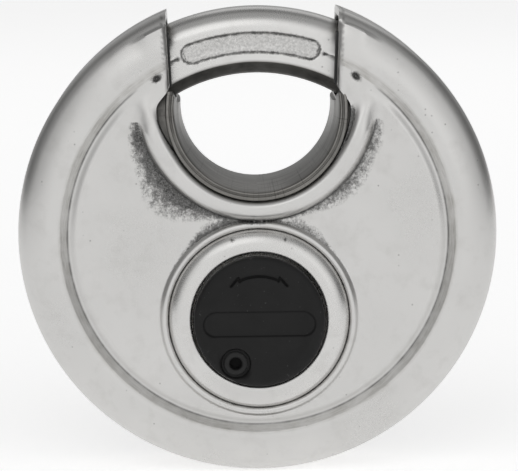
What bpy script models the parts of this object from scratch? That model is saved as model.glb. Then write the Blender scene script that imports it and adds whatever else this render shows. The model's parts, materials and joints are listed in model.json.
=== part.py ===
"""Disc padlock: two pressed steel shells round a core, and a shackle that turns inside the disc.

The padlock hangs upright, as on a hasp: +X to the right, +Z up, and the keyway faces -Y.
The world origin is the point of the shackle's bow that bears on the staple.
Every piece is drawn in the disc's own frame, held by one empty: x to the right, y up,
z out of the front face, with its origin at the disc's centre, which is the shackle's axis.
"""

import math

import bmesh
import bpy

MM = 0.001
GAP = 0.3 * MM                      # clearance between separate pieces
TRIM = 0.4 * MM                     # extra stock that a later cut takes away
REACH = 20.0 * MM                   # past either face of the lock, for tools that cut right through
ABOVE = 45.0 * MM                   # past the top of the disc, likewise

# Sides of round shapes, by size
DISC_STEPS = 56
LARGE_STEPS = 40
MEDIUM_STEPS = 32
SMALL_STEPS = 20
TINY_STEPS = 16
TRACK_STEPS = 96                    # surfaces that the shackle slides along

# Disc case
DISC_RADIUS = 40.0 * MM
SHELL_THICKNESS = 1.6 * MM
PANEL_DEPTH = 10.6 * MM             # outer face of the flat panel, from the mid-plane
STEP_RADIUS = 31.0 * MM             # valley between the panel and the outer ring
RING_CREST_RADIUS = 33.3 * MM
RING_CREST_DEPTH = 10.9 * MM
RIM_ROUND_RADIUS = 2.8 * MM
RIM_ROUND_DEPTH = 6.6 * MM
SLOT_HALF_WIDTH = 14.5 * MM

# Tunnel for the staple
TUNNEL_HEIGHT = 21.2 * MM           # tunnel axis above the disc's centre
TUNNEL_MOUTH_RADIUS = 14.6 * MM
TUNNEL_WAIST_RADIUS = 12.3 * MM
TUNNEL_TOP = 24.6 * MM              # upper ends of the liner
LINER_THICKNESS = 1.0 * MM
LINER_HALF_DEPTH = 12.7 * MM
BEAD_INNER_RADIUS = 15.9 * MM
BEAD_OUTER_RADIUS = 18.7 * MM
BEAD_DEPTH = 13.0 * MM

# Shackle and its drive
SHACKLE_INNER_RADIUS = 26.8 * MM
SHACKLE_OUTER_RADIUS = 37.8 * MM
SHACKLE_HALF_DEPTH = 5.5 * MM
SHACKLE_TIP_ANGLE = -42.0           # degrees clockwise from the top, seen from the front
SHACKLE_HEEL_ANGLE = 95.0
LAP_TOP = 6.0 * MM                  # the heel is thinned below this height for the rack
LAP_DEPTH = -1.3 * MM
BADGE_RADIUS = 32.0 * MM            # blank pill recess on the shackle's face
BADGE_HALF_ANGLE = 21.0
BADGE_WIDTH = 3.5 * MM
BADGE_SINK = 0.35 * MM

GEAR_MODULE = 1.0 * MM
PINION_TEETH = 25
RING_TEETH = 52
PRESSURE_ANGLE = math.radians(20.0)
ADDENDUM = 0.82 * MM
DEDENDUM = 1.15 * MM
FLANK_CLEARANCE = 0.14 * MM
GEAR_LOW = -5.4 * MM
GEAR_HIGH = -1.6 * MM
RACK_OUTER_RADIUS = 34.0 * MM
RACK_LAP_ANGLE = 80.5
RACK_TEETH_START = 94.0
RACK_TEETH_END = 192.0
RACK_RIVET_ANGLES = (84.5, 91.0)
RACK_RIVET_RADIUS = 1.2 * MM
RACK_RIVET_CIRCLE = 31.0 * MM
RACK_RIVET_TOP = 3.0 * MM

# Lock cylinder; its axis is one gear centre distance below the disc's centre
LOCK_DROP = GEAR_MODULE * (RING_TEETH - PINION_TEETH) / 2
COLLAR_RADIUS = 14.6 * MM
COLLAR_CREST_DEPTH = 13.0 * MM
COLLAR_FLOOR = 12.2 * MM
HOUSING_RADIUS = 10.5 * MM
HOUSING_BORE = 6.2 * MM
ROTOR_RADIUS = 5.9 * MM
ROTOR_BORE = 4.9 * MM
ROTOR_TOP = 11.9 * MM
ROTOR_BOTTOM = -1.3 * MM
ROTOR_STUB_RADIUS = 1.9 * MM
TAIL_WIDTH = 4.6 * MM
DETAINER_COUNT = 6
DETAINER_RADIUS = 4.6 * MM
DETAINER_THICKNESS = 0.9 * MM
SPACER_THICKNESS = 0.35 * MM
STACK_CLEARANCE = 0.25 * MM
STACK_BOTTOM = -0.4 * MM
KEYWAY_WIDTH = 1.8 * MM
KEYWAY_LENGTH = 6.0 * MM

# Keyway cover and its rivet
COVER_RADIUS = 10.95 * MM
COVER_LOW = 13.3 * MM
COVER_HIGH = 15.1 * MM
RIVET_OFFSET = (-4.0 * MM, -6.95 * MM)   # from the cover's centre
RIVET_RADIUS = 1.1 * MM
RIVET_HEAD_RADIUS = 2.0 * MM
LABEL_LENGTH = 18.6 * MM
LABEL_WIDTH = 4.3 * MM

# Core
CORE_RADIUS = 26.2 * MM
CORE_TOP = 18.0 * MM
CORE_FRONT = (-1.2 * MM, 7.0 * MM)
CORE_REAR = (-8.6 * MM, -6.9 * MM)
CORE_RIVETS = [
    (side * x * MM, y * MM)
    for x, y in ((19.5, 9.5), (20.0, -4.0))
    for side in (-1, 1)
]
CORE_RIVET_RADIUS = 1.6 * MM
GUIDE_INNER_RADIUS = 27.5 * MM
GUIDE_OUTER_RADIUS = 35.8 * MM
GUIDE_DEPTHS = (5.8 * MM, 7.1 * MM)
SEAL_THICKNESS = 1.4 * MM
SEAL_FOOT = 19.0 * MM
SEAL_TOP_RADIUS = 36.2 * MM
SEAL_DEPTH = 8.0 * MM
REAR_BOSS_RADIUS = 15.0 * MM
REAR_BOSS_DEPTH = 13.0 * MM

LOCK_AXIS = (0.0, -LOCK_DROP)
RIVET_AXIS = (RIVET_OFFSET[0], RIVET_OFFSET[1] - LOCK_DROP)
TUNNEL_AXIS = (0.0, TUNNEL_HEIGHT)

MATERIALS = {                      # colour, roughness, metallic
    "polished_steel": ((0.62, 0.61, 0.60), 0.25, 1.0),
    "brushed_steel": ((0.55, 0.54, 0.53), 0.38, 1.0),
    "hardened_steel": ((0.42, 0.42, 0.43), 0.45, 1.0),
    "zinc_core": ((0.50, 0.51, 0.53), 0.55, 1.0),
    "brass": ((0.70, 0.52, 0.24), 0.35, 1.0),
    "black_plastic": ((0.012, 0.012, 0.013), 0.45, 0.0),
    "black_rubber": ((0.015, 0.015, 0.015), 0.80, 0.0),
}


# ---------------------------------------------------------------- scene helpers

def clear_scene():
    for obj in list(bpy.data.objects):
        bpy.data.objects.remove(obj, do_unlink=True)


def new_collection(name):
    collection = bpy.data.collections.new(name)
    bpy.context.scene.collection.children.link(collection)
    return collection


def make_material(name):
    colour, roughness, metallic = MATERIALS[name]
    material = bpy.data.materials.new(name)
    material.use_nodes = True
    shader = material.node_tree.nodes["Principled BSDF"]
    shader.inputs["Base Color"].default_value = (*colour, 1.0)
    shader.inputs["Roughness"].default_value = roughness
    shader.inputs["Metallic"].default_value = metallic
    return material


class Bench:
    """Puts new objects under the disc's empty, as parts or as hidden tools."""

    def __init__(self):
        self.parts = new_collection("disc_padlock")
        self.tools = new_collection("tools")
        self.disc = bpy.data.objects.new("disc_centre", None)
        self.disc.location = (0.0, 0.0, -SHACKLE_INNER_RADIUS)
        self.disc.rotation_euler = (math.radians(90.0), 0.0, 0.0)
        self.parts.objects.link(self.disc)
        self.materials = {name: make_material(name) for name in MATERIALS}

    def add(self, name, mesh, material=None, at=(0.0, 0.0)):
        """Link a mesh as a part, or as a tool when it has no material; at is its axis in the disc."""
        obj = bpy.data.objects.new(name, mesh)
        obj.parent = self.disc
        obj.location = (at[0], at[1], 0.0)
        if material:
            self.parts.objects.link(obj)
            mesh.materials.append(self.materials[material])
        else:
            self.tools.objects.link(obj)
            obj.hide_render = True
            obj.display_type = "WIRE"
        return obj


# ---------------------------------------------------------------- shape helpers

def arc(centre, radius, start, end, count):
    """Points on an arc, in degrees anticlockwise from +x."""
    steps = [math.radians(start + (end - start) * i / (count - 1)) for i in range(count)]
    return [(centre[0] + radius * math.cos(a), centre[1] + radius * math.sin(a)) for a in steps]


def circle(centre, radius, count):
    return arc(centre, radius, 0.0, 360.0 * (count - 1) / count, count)


def rectangle(low, high):
    return [(low[0], low[1]), (high[0], low[1]), (high[0], high[1]), (low[0], high[1])]


def signed_area(points):
    following = points[1:] + points[:1]
    return sum(a[0] * b[1] - b[0] * a[1] for a, b in zip(points, following)) / 2


def turned(bench, name, profile, material=None, at=(0.0, 0.0), steps=DISC_STEPS):
    """Turn a profile of (radius, depth) points; one that touches the axis is left open there."""
    points = profile if signed_area(profile) < 0 else profile[::-1]
    closed = min(radius for radius, _ in points) > 0
    if not closed:
        while points[0][0] > 0 or points[-1][0] > 0:
            points = points[1:] + points[:1]
    count = len(points)
    edges = [(i, (i + 1) % count) for i in range(count if closed else count - 1)]
    mesh = bpy.data.meshes.new(name)
    mesh.from_pydata([(radius, 0.0, depth) for radius, depth in points], edges, [])
    obj = bench.add(name, mesh, material, at)
    screw = obj.modifiers.new("turn", "SCREW")
    screw.axis = "Z"
    screw.angle = math.tau
    screw.steps = steps
    screw.render_steps = steps
    screw.use_merge_vertices = True
    screw.merge_threshold = 0.00001
    screw.use_smooth_shade = True
    return obj


def plate(bench, name, outlines, low, high, material=None, at=(0.0, 0.0)):
    """Extrude closed outlines, the first one outside and the others as its holes."""
    curve = bpy.data.curves.new(name, "CURVE")
    curve.dimensions = "2D"
    curve.fill_mode = "BOTH"
    curve.extrude = (high - low) / 2
    for outline in outlines:
        spline = curve.splines.new("POLY")
        spline.points.add(len(outline) - 1)
        for point, (x, y) in zip(spline.points, outline):
            point.co = (x, y, 0.0, 1.0)
        spline.use_cyclic_u = True
    drawing = bpy.data.objects.new(name + "_outline", curve)
    bench.tools.objects.link(drawing)
    bpy.context.view_layer.update()
    mesh = bpy.data.meshes.new_from_object(drawing.evaluated_get(bpy.context.evaluated_depsgraph_get()))
    bpy.data.objects.remove(drawing, do_unlink=True)
    bpy.data.curves.remove(curve)
    shape = bmesh.new()
    shape.from_mesh(mesh)
    bmesh.ops.remove_doubles(shape, verts=shape.verts, dist=0.000001)
    bmesh.ops.translate(shape, verts=shape.verts, vec=(0.0, 0.0, (low + high) / 2))
    bmesh.ops.recalc_face_normals(shape, faces=shape.faces)
    shape.to_mesh(mesh)
    shape.free()
    mesh.name = name
    return bench.add(name, mesh, material, at)


def rod(bench, name, radius, low, high, material=None, at=(0.0, 0.0), sides=MEDIUM_STEPS):
    shape = bmesh.new()
    height = high - low
    bmesh.ops.create_cone(shape, cap_ends=True, segments=sides, radius1=radius, radius2=radius, depth=height)
    bmesh.ops.translate(shape, verts=shape.verts, vec=(0.0, 0.0, (low + high) / 2))
    mesh = bpy.data.meshes.new(name)
    shape.to_mesh(mesh)
    shape.free()
    return bench.add(name, mesh, material, at)


def block(bench, name, low, high, material=None, at=(0.0, 0.0)):
    shape = bmesh.new()
    bmesh.ops.create_cube(shape, size=1.0)
    bmesh.ops.scale(shape, verts=shape.verts, vec=[b - a for a, b in zip(low, high)])
    bmesh.ops.translate(shape, verts=shape.verts, vec=[(a + b) / 2 for a, b in zip(low, high)])
    mesh = bpy.data.meshes.new(name)
    shape.to_mesh(mesh)
    shape.free()
    return bench.add(name, mesh, material, at)


def swept_ring(bench, name, section, start, end, steps, material=None):
    """Spin a section of (radius, depth) points round the disc's axis, clockwise from the top."""
    shape = bmesh.new()
    first = math.radians(90.0 - start)
    corners = [
        shape.verts.new((radius * math.cos(first), radius * math.sin(first), depth))
        for radius, depth in section
    ]
    face = shape.faces.new(corners)
    bmesh.ops.spin(
        shape,
        geom=[face, *face.edges, *face.verts],
        axis=(0.0, 0.0, 1.0),
        cent=(0.0, 0.0, 0.0),
        angle=-math.radians(end - start),
        steps=steps,
        use_duplicate=False,
    )
    bmesh.ops.recalc_face_normals(shape, faces=shape.faces)
    mesh = bpy.data.meshes.new(name)
    shape.to_mesh(mesh)
    shape.free()
    return bench.add(name, mesh, material)


def combine(target, tool, operation="DIFFERENCE"):
    modifier = target.modifiers.new(tool.name, "BOOLEAN")
    modifier.operation = operation
    modifier.solver = "EXACT"
    modifier.object = tool


def on_disc(radius, degrees):
    """A point at a radius from the disc's centre, clockwise from the top."""
    angle = math.radians(90.0 - degrees)
    return (radius * math.cos(angle), radius * math.sin(angle))


# ---------------------------------------------------------------- case shells

def shell_profile(side):
    """Half section of one pressed shell; side is +1 for the front and -1 for the rear."""
    step = STEP_RADIUS
    crest = RING_CREST_RADIUS
    inner_depth = PANEL_DEPTH - SHELL_THICKNESS
    round_centre = (DISC_RADIUS - RIM_ROUND_RADIUS, RIM_ROUND_DEPTH)
    outer = [(0.0, PANEL_DEPTH), (step - 1.3 * MM, PANEL_DEPTH), (step, PANEL_DEPTH - 0.7 * MM)]
    outer += [(crest - 1.0 * MM, RING_CREST_DEPTH - 0.25 * MM), (crest, RING_CREST_DEPTH)]
    outer += arc(round_centre, RIM_ROUND_RADIUS, 72.0, 0.0, 5)
    outer += [(DISC_RADIUS, GAP / 2)]
    inner = [(DISC_RADIUS - SHELL_THICKNESS, GAP / 2), (DISC_RADIUS - SHELL_THICKNESS, RIM_ROUND_DEPTH)]
    inner += [(DISC_RADIUS - 2.4 * MM, RIM_ROUND_DEPTH + 1.3 * MM)]
    inner += [(crest, RING_CREST_DEPTH - SHELL_THICKNESS)]
    inner += [(step, inner_depth - 0.6 * MM), (step - 1.6 * MM, inner_depth), (0.0, inner_depth)]
    return [(radius, side * depth) for radius, depth in outer + inner]


def tunnel_bead(bench, side):
    """Rolled lip round the tunnel's mouth, which dies out in the step of the disc."""
    inner = BEAD_INNER_RADIUS - TRIM
    outer = BEAD_OUTER_RADIUS
    base = PANEL_DEPTH - 1.2 * MM
    profile = [
        (inner, base),
        (inner, BEAD_DEPTH - 0.8 * MM),
        (inner + 0.5 * MM, BEAD_DEPTH - 0.1 * MM),
        (inner + 1.2 * MM, BEAD_DEPTH),
        (inner + 2.0 * MM, BEAD_DEPTH - 0.6 * MM),
        (outer - 0.3 * MM, PANEL_DEPTH + 0.2 * MM),
        (outer, base),
    ]
    label = "front" if side > 0 else "rear"
    limit_radius = STEP_RADIUS + 0.6 * MM
    profile = [(radius, side * depth) for radius, depth in profile]
    bead = turned(bench, label + "_bead", profile, at=TUNNEL_AXIS, steps=LARGE_STEPS)
    limit = turned(
        bench,
        label + "_bead_limit",
        [(0.0, -REACH), (limit_radius, -REACH), (limit_radius, REACH), (0.0, REACH)],
    )
    combine(bead, limit, "INTERSECT")
    return bead


def slot_cutter(bench):
    """The slot that the shackle bridges, with the round tunnel at its foot."""
    slot = block(
        bench,
        "slot_cutter",
        (-SLOT_HALF_WIDTH, TUNNEL_HEIGHT - 1 * MM, -REACH),
        (SLOT_HALF_WIDTH, ABOVE, REACH),
    )
    tunnel = rod(bench, "tunnel_cutter", BEAD_INNER_RADIUS, -REACH, REACH, at=TUNNEL_AXIS, sides=LARGE_STEPS)
    return slot, tunnel


def front_shell(bench, cutters):
    shell = turned(bench, "front_shell", shell_profile(1), "polished_steel")
    combine(shell, tunnel_bead(bench, 1), "UNION")
    lip = [
        (COLLAR_RADIUS + GAP - TRIM, PANEL_DEPTH - 1.2 * MM),
        (COLLAR_RADIUS + GAP - TRIM, PANEL_DEPTH + 0.7 * MM),
        (COLLAR_RADIUS + 0.8 * MM, PANEL_DEPTH + 0.9 * MM),
        (COLLAR_RADIUS + 1.6 * MM, PANEL_DEPTH - 0.2 * MM),
        (COLLAR_RADIUS + 1.6 * MM, PANEL_DEPTH - 1.2 * MM),
    ]
    combine(shell, turned(bench, "collar_lip", lip, at=LOCK_AXIS, steps=LARGE_STEPS), "UNION")
    for cutter in cutters:
        combine(shell, cutter)
    hole = rod(bench, "collar_hole", COLLAR_RADIUS + GAP, 0.0, REACH, at=LOCK_AXIS, sides=LARGE_STEPS)
    combine(shell, hole)


def rear_shell(bench, cutters):
    shell = turned(bench, "rear_shell", shell_profile(-1), "polished_steel")
    combine(shell, tunnel_bead(bench, -1), "UNION")
    for cutter in cutters:
        combine(shell, cutter)
    hollow = REAR_BOSS_RADIUS - 2.2 * MM
    combine(shell, rod(bench, "boss_hole", hollow, -REACH, 0.0, at=LOCK_AXIS, sides=LARGE_STEPS))
    floor = -REAR_BOSS_DEPTH + SHELL_THICKNESS
    cup = [
        (0.0, -REAR_BOSS_DEPTH),
        (REAR_BOSS_RADIUS - 1.6 * MM, -REAR_BOSS_DEPTH),
        (REAR_BOSS_RADIUS - 0.9 * MM, -REAR_BOSS_DEPTH + 0.3 * MM),
        (REAR_BOSS_RADIUS - 0.4 * MM, -REAR_BOSS_DEPTH + 1.2 * MM),
        (REAR_BOSS_RADIUS, -PANEL_DEPTH + 0.5 * MM),
        (hollow - 0.4 * MM, -PANEL_DEPTH + 0.5 * MM),
        (hollow - 0.4 * MM, floor),
        (0.0, floor),
    ]
    combine(shell, turned(bench, "boss_cup", cup, at=LOCK_AXIS, steps=LARGE_STEPS), "UNION")


def shackle_path(bench):
    """Room that the shackle sweeps through, open outwards."""
    reach = SHACKLE_HALF_DEPTH + GAP
    inner = SHACKLE_INNER_RADIUS - GAP
    outer = SHACKLE_OUTER_RADIUS + 2 * MM
    section = [(inner, reach), (outer, reach), (outer, -reach), (inner, -reach)]
    return turned(bench, "shackle_path", section, steps=TRACK_STEPS)


def tunnel_liner(bench, path):
    """Waisted lining sheet of the tunnel, open at the top where the shackle passes."""
    def radius_at(depth):
        flare = TUNNEL_MOUTH_RADIUS - TUNNEL_WAIST_RADIUS
        return TUNNEL_WAIST_RADIUS + flare * (depth / LINER_HALF_DEPTH) ** 2

    depths = [LINER_HALF_DEPTH * (i / 3 - 1) for i in range(7)]
    inner = [(radius_at(depth), depth) for depth in depths]
    outer = [(radius_at(depth) + LINER_THICKNESS, depth) for depth in reversed(depths)]
    liner = turned(bench, "tunnel_liner", inner + outer, "brushed_steel", at=TUNNEL_AXIS, steps=LARGE_STEPS)
    cutter = block(bench, "liner_cutter", (-REACH, TUNNEL_TOP, -REACH), (REACH, ABOVE, REACH))
    combine(liner, cutter)
    combine(liner, path)


# ---------------------------------------------------------------- inside the case

def core_plate(bench, name, depths, holes):
    """One core plate, cut away for the liner, with its round holes as (axis, radius)."""
    low, high = depths
    core = rod(bench, name, CORE_RADIUS, low, high, "zinc_core", sides=DISC_STEPS)
    below = low - 1 * MM
    above = high + 1 * MM
    liner_room = TUNNEL_MOUTH_RADIUS + LINER_THICKNESS + GAP
    room = rod(bench, name + "_liner_room", liner_room, below, above, at=TUNNEL_AXIS, sides=LARGE_STEPS)
    combine(core, room)
    combine(core, block(bench, name + "_top", (-CORE_RADIUS, CORE_TOP, below), (CORE_RADIUS, ABOVE, above)))
    for number, (axis, radius) in enumerate(holes, 1):
        combine(core, rod(bench, f"{name}_hole_{number}", radius, below, above, at=axis, sides=SMALL_STEPS))


def core_rivets(bench):
    """Shouldered rivets that hold the two core plates apart, with room for the gears."""
    shank = CORE_RIVET_RADIUS
    shoulder = shank + 1.0 * MM
    foot = 0.2 * MM                 # how far each end stays inside its plate
    profile = [
        (0.0, CORE_FRONT[1] - foot),
        (shank, CORE_FRONT[1] - foot),
        (shank, CORE_FRONT[0] - GAP),
        (shoulder, CORE_FRONT[0] - GAP),
        (shoulder, CORE_REAR[1] + GAP),
        (shank, CORE_REAR[1] + GAP),
        (shank, CORE_REAR[0] + foot),
        (0.0, CORE_REAR[0] + foot),
    ]
    for number, axis in enumerate(CORE_RIVETS, 1):
        turned(bench, f"core_rivet_{number}", profile, "hardened_steel", at=axis, steps=TINY_STEPS)


def guide_ring(bench, name, side):
    """Broken ring between the shackle's face and the shell."""
    low, high = sorted(side * depth for depth in GUIDE_DEPTHS)
    profile = rectangle((GUIDE_INNER_RADIUS, low), (GUIDE_OUTER_RADIUS, high))
    ring = turned(bench, name, profile, "brushed_steel")
    gap = SLOT_HALF_WIDTH + SEAL_THICKNESS + 0.9 * MM
    combine(ring, block(bench, name + "_gap", (-gap, 0.0, low - 1 * MM), (gap, ABOVE, high + 1 * MM)))


def shackle_seal(bench, name, side, path):
    """Cheek of the slot that the shackle slides through, open above it."""
    inner = SLOT_HALF_WIDTH + 0.5 * MM
    near, far = sorted((side * inner, side * (inner + SEAL_THICKNESS)))
    seal = block(bench, name, (near, SEAL_FOOT, -SEAL_DEPTH), (far, DISC_RADIUS, SEAL_DEPTH), "black_rubber")
    limit = rod(bench, name + "_limit", SEAL_TOP_RADIUS, -REACH, REACH, sides=TRACK_STEPS)
    combine(seal, limit, "INTERSECT")
    combine(seal, path)


# ---------------------------------------------------------------- shackle and rack

def shackle_section():
    """Section of the bow: well rounded outside, with small chamfers inside."""
    outer_round = 3.6 * MM
    inner_chamfer = 1.7 * MM
    low, high = -SHACKLE_HALF_DEPTH, SHACKLE_HALF_DEPTH
    near, far = SHACKLE_INNER_RADIUS, SHACKLE_OUTER_RADIUS
    top = arc((far - outer_round, high - outer_round), outer_round, 90.0, 0.0, 5)
    bottom = arc((far - outer_round, low + outer_round), outer_round, 0.0, -90.0, 5)
    back = [(near + inner_chamfer, low), (near, low + inner_chamfer)]
    back += [(near, high - inner_chamfer), (near + inner_chamfer, high)]
    return top + bottom + back


def badge_outline():
    """Pill that follows the shackle's bow."""
    half = BADGE_WIDTH / 2
    reach = BADGE_HALF_ANGLE - math.degrees(half / BADGE_RADIUS)
    right = on_disc(BADGE_RADIUS, reach)
    left = on_disc(BADGE_RADIUS, -reach)
    outline = arc((0.0, 0.0), BADGE_RADIUS + half, 90.0 + reach, 90.0 - reach, 11)
    outline += arc(right, half, 90.0 - reach, -90.0 - reach, 7)[1:-1]
    outline += arc((0.0, 0.0), BADGE_RADIUS - half, 90.0 - reach, 90.0 + reach, 11)
    outline += arc(left, half, 270.0 + reach, 90.0 + reach, 7)[1:-1]
    return outline


def shackle(bench):
    bow = swept_ring(
        bench, "shackle", shackle_section(), SHACKLE_TIP_ANGLE, SHACKLE_HEEL_ANGLE, 38, "polished_steel"
    )
    combine(bow, block(bench, "lap_cutter", (20 * MM, -12 * MM, -9 * MM), (45 * MM, LAP_TOP, LAP_DEPTH)))
    face = SHACKLE_HALF_DEPTH
    badge = plate(bench, "badge_cutter", [badge_outline()], face - BADGE_SINK, face + 2 * MM)
    combine(bow, badge)
    for number, angle in enumerate(RACK_RIVET_ANGLES, 1):
        axis = on_disc(RACK_RIVET_CIRCLE, angle)
        radius = RACK_RIVET_RADIUS + GAP
        top = RACK_RIVET_TOP + 0.4 * MM
        combine(bow, rod(bench, f"rack_rivet_hole_{number}", radius, -REACH, top, at=axis, sides=TINY_STEPS))


def involute(angle):
    return math.tan(angle) - angle


def tooth_half_angle(radius, pitch_radius, half_thickness):
    """Half the angle that an involute tooth spans at a radius."""
    base = pitch_radius * math.cos(PRESSURE_ANGLE)
    local = math.acos(min(1.0, base / radius))
    return half_thickness / pitch_radius + involute(PRESSURE_ANGLE) - involute(local)


def flank_radii(inner, outer, count=3):
    return [inner + (outer - inner) * i / (count - 1) for i in range(count)]


def pinion_outline():
    pitch = GEAR_MODULE * PINION_TEETH / 2
    half_thickness = math.pi * GEAR_MODULE / 4 - FLANK_CLEARANCE
    radii = flank_radii(max(pitch - DEDENDUM, pitch * math.cos(PRESSURE_ANGLE)), pitch + ADDENDUM)
    outline = []
    for tooth in range(PINION_TEETH):
        centre = math.radians(-90.0) + math.tau * tooth / PINION_TEETH
        rising = [(r, centre - tooth_half_angle(r, pitch, half_thickness)) for r in radii]
        falling = [(r, centre + tooth_half_angle(r, pitch, half_thickness)) for r in reversed(radii)]
        root = pitch - DEDENDUM
        rising.insert(0, (root, rising[0][1]))
        falling.append((root, falling[-1][1]))
        outline += [(r * math.cos(a), r * math.sin(a)) for r, a in rising + falling]
    return outline


def rack_outline():
    """Toothed sector of the internal ring gear, with a plain lap at the shackle's heel."""
    pitch = GEAR_MODULE * RING_TEETH / 2
    space_half = math.pi * GEAR_MODULE / 4 + FLANK_CLEARANCE
    root = pitch + DEDENDUM
    radii = flank_radii(pitch - ADDENDUM, root)
    step = 360.0 / RING_TEETH
    first = math.ceil((RACK_TEETH_START - 180.0) / step)
    last = math.floor((RACK_TEETH_END - 180.0) / step)
    outline = [on_disc(root, RACK_LAP_ANGLE), on_disc(root, (RACK_LAP_ANGLE + RACK_TEETH_START) / 2)]
    for number in range(first, last + 1):
        centre = 180.0 + number * step
        half = [(r, math.degrees(tooth_half_angle(r, pitch, space_half))) for r in radii]
        outline += [on_disc(r, centre - angle) for r, angle in half]
        outline += [on_disc(r, centre + angle) for r, angle in reversed(half)]
    outline += arc((0.0, 0.0), RACK_OUTER_RADIUS, 90.0 - RACK_TEETH_END, 90.0 - RACK_LAP_ANGLE, 25)
    return outline


def drive_rack(bench):
    holes = [
        circle(on_disc(RACK_RIVET_CIRCLE, angle), RACK_RIVET_RADIUS + GAP, TINY_STEPS)
        for angle in RACK_RIVET_ANGLES
    ]
    plate(bench, "drive_rack", [rack_outline(), *holes], GEAR_LOW, GEAR_HIGH, "hardened_steel")
    for number, angle in enumerate(RACK_RIVET_ANGLES, 1):
        axis = on_disc(RACK_RIVET_CIRCLE, angle)
        name = f"rack_rivet_{number}"
        rod(bench, name, RACK_RIVET_RADIUS, GEAR_LOW, RACK_RIVET_TOP, "hardened_steel", axis, TINY_STEPS)


# ---------------------------------------------------------------- lock cylinder

def face_plate(bench):
    """Domed collar of the lock, with the floor that the cover swings over."""
    crest = COLLAR_CREST_DEPTH
    floor = COLLAR_FLOOR
    flange = PANEL_DEPTH - SHELL_THICKNESS - GAP
    profile = [
        (HOUSING_BORE, floor),
        (10.3 * MM, floor),
        (10.8 * MM, crest - 0.25 * MM),
        (11.6 * MM, crest),
        (12.6 * MM, crest - 0.2 * MM),
        (13.6 * MM, crest - 0.9 * MM),
        (14.3 * MM, crest - 2.0 * MM),
        (COLLAR_RADIUS, crest - 2.8 * MM),
        (COLLAR_RADIUS, flange),
        (COLLAR_RADIUS + 1.7 * MM, flange),
        (COLLAR_RADIUS + 1.7 * MM, flange - 1.3 * MM),
        (COLLAR_RADIUS - 1.4 * MM, flange - 1.3 * MM),
        (COLLAR_RADIUS - 1.4 * MM, floor - 1.6 * MM),
        (COLLAR_RADIUS - 2.2 * MM, floor - 1.2 * MM),
        (HOUSING_BORE, floor - 1.2 * MM),
    ]
    ring = turned(bench, "face_plate", profile, "polished_steel", at=LOCK_AXIS, steps=LARGE_STEPS)
    hole = rod(bench, "face_rivet_hole", RIVET_RADIUS + GAP, 0.0, REACH, at=RIVET_AXIS, sides=SMALL_STEPS)
    combine(ring, hole)


def cylinder_housing(bench):
    flange = (CORE_FRONT[1] + GAP, CORE_FRONT[1] + 1.6 * MM)
    top = 9.8 * MM
    bottom = CORE_FRONT[0] + 0.1 * MM
    profile = [
        (HOUSING_RADIUS, top),
        (HOUSING_RADIUS, flange[1]),
        (HOUSING_RADIUS + 2.2 * MM, flange[1]),
        (HOUSING_RADIUS + 2.2 * MM, flange[0]),
        (HOUSING_RADIUS, flange[0]),
        (HOUSING_RADIUS, bottom),
        (HOUSING_BORE, bottom),
        (HOUSING_BORE, top),
    ]
    turned(bench, "cylinder_housing", profile, "brass", at=LOCK_AXIS, steps=MEDIUM_STEPS)


def rotor(bench):
    """Barrel that holds the detainer discs, with a square tail for the pinion."""
    floor = ROTOR_BOTTOM + 0.6 * MM
    stub_end = CORE_REAR[0] + GAP
    profile = [
        (0.0, floor),
        (ROTOR_BORE, floor),
        (ROTOR_BORE, ROTOR_TOP),
        (ROTOR_RADIUS, ROTOR_TOP),
        (ROTOR_RADIUS, ROTOR_BOTTOM),
        (ROTOR_STUB_RADIUS, ROTOR_BOTTOM),
        (ROTOR_STUB_RADIUS, stub_end),
        (0.0, stub_end),
    ]
    barrel = turned(bench, "rotor", profile, "brass", at=LOCK_AXIS, steps=MEDIUM_STEPS)
    half = TAIL_WIDTH / 2
    tail = block(bench, "rotor_tail", (-half, -half, GEAR_LOW), (half, half, floor - 0.2 * MM), at=LOCK_AXIS)
    combine(barrel, tail, "UNION")
    slot_low = (4.0 * MM, -0.8 * MM, 0.4 * MM)
    slot_high = (7.0 * MM, 0.8 * MM, 11.0 * MM)
    combine(barrel, block(bench, "rotor_slot", slot_low, slot_high, at=LOCK_AXIS))
    bar_low = (ROTOR_BORE + 0.1 * MM, -0.5 * MM, 0.7 * MM)
    bar_high = (ROTOR_RADIUS - 0.1 * MM, 0.5 * MM, 10.7 * MM)
    block(bench, "sidebar", bar_low, bar_high, "hardened_steel", LOCK_AXIS)


def keyway_outline():
    half_width, half_length = KEYWAY_WIDTH / 2, KEYWAY_LENGTH / 2
    return rectangle((-half_width, -half_length), (half_width, half_length))


def notched_disc(notch_degrees):
    """Disc outline with one notch in its edge for the sidebar."""
    half_notch = 8.0
    depth = 0.9 * MM
    start = notch_degrees - half_notch
    end = notch_degrees + half_notch
    rim = arc((0.0, 0.0), DETAINER_RADIUS, end, start + 360.0, 24)
    floor = arc((0.0, 0.0), DETAINER_RADIUS - depth, start, end, 2)
    return rim + floor


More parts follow.
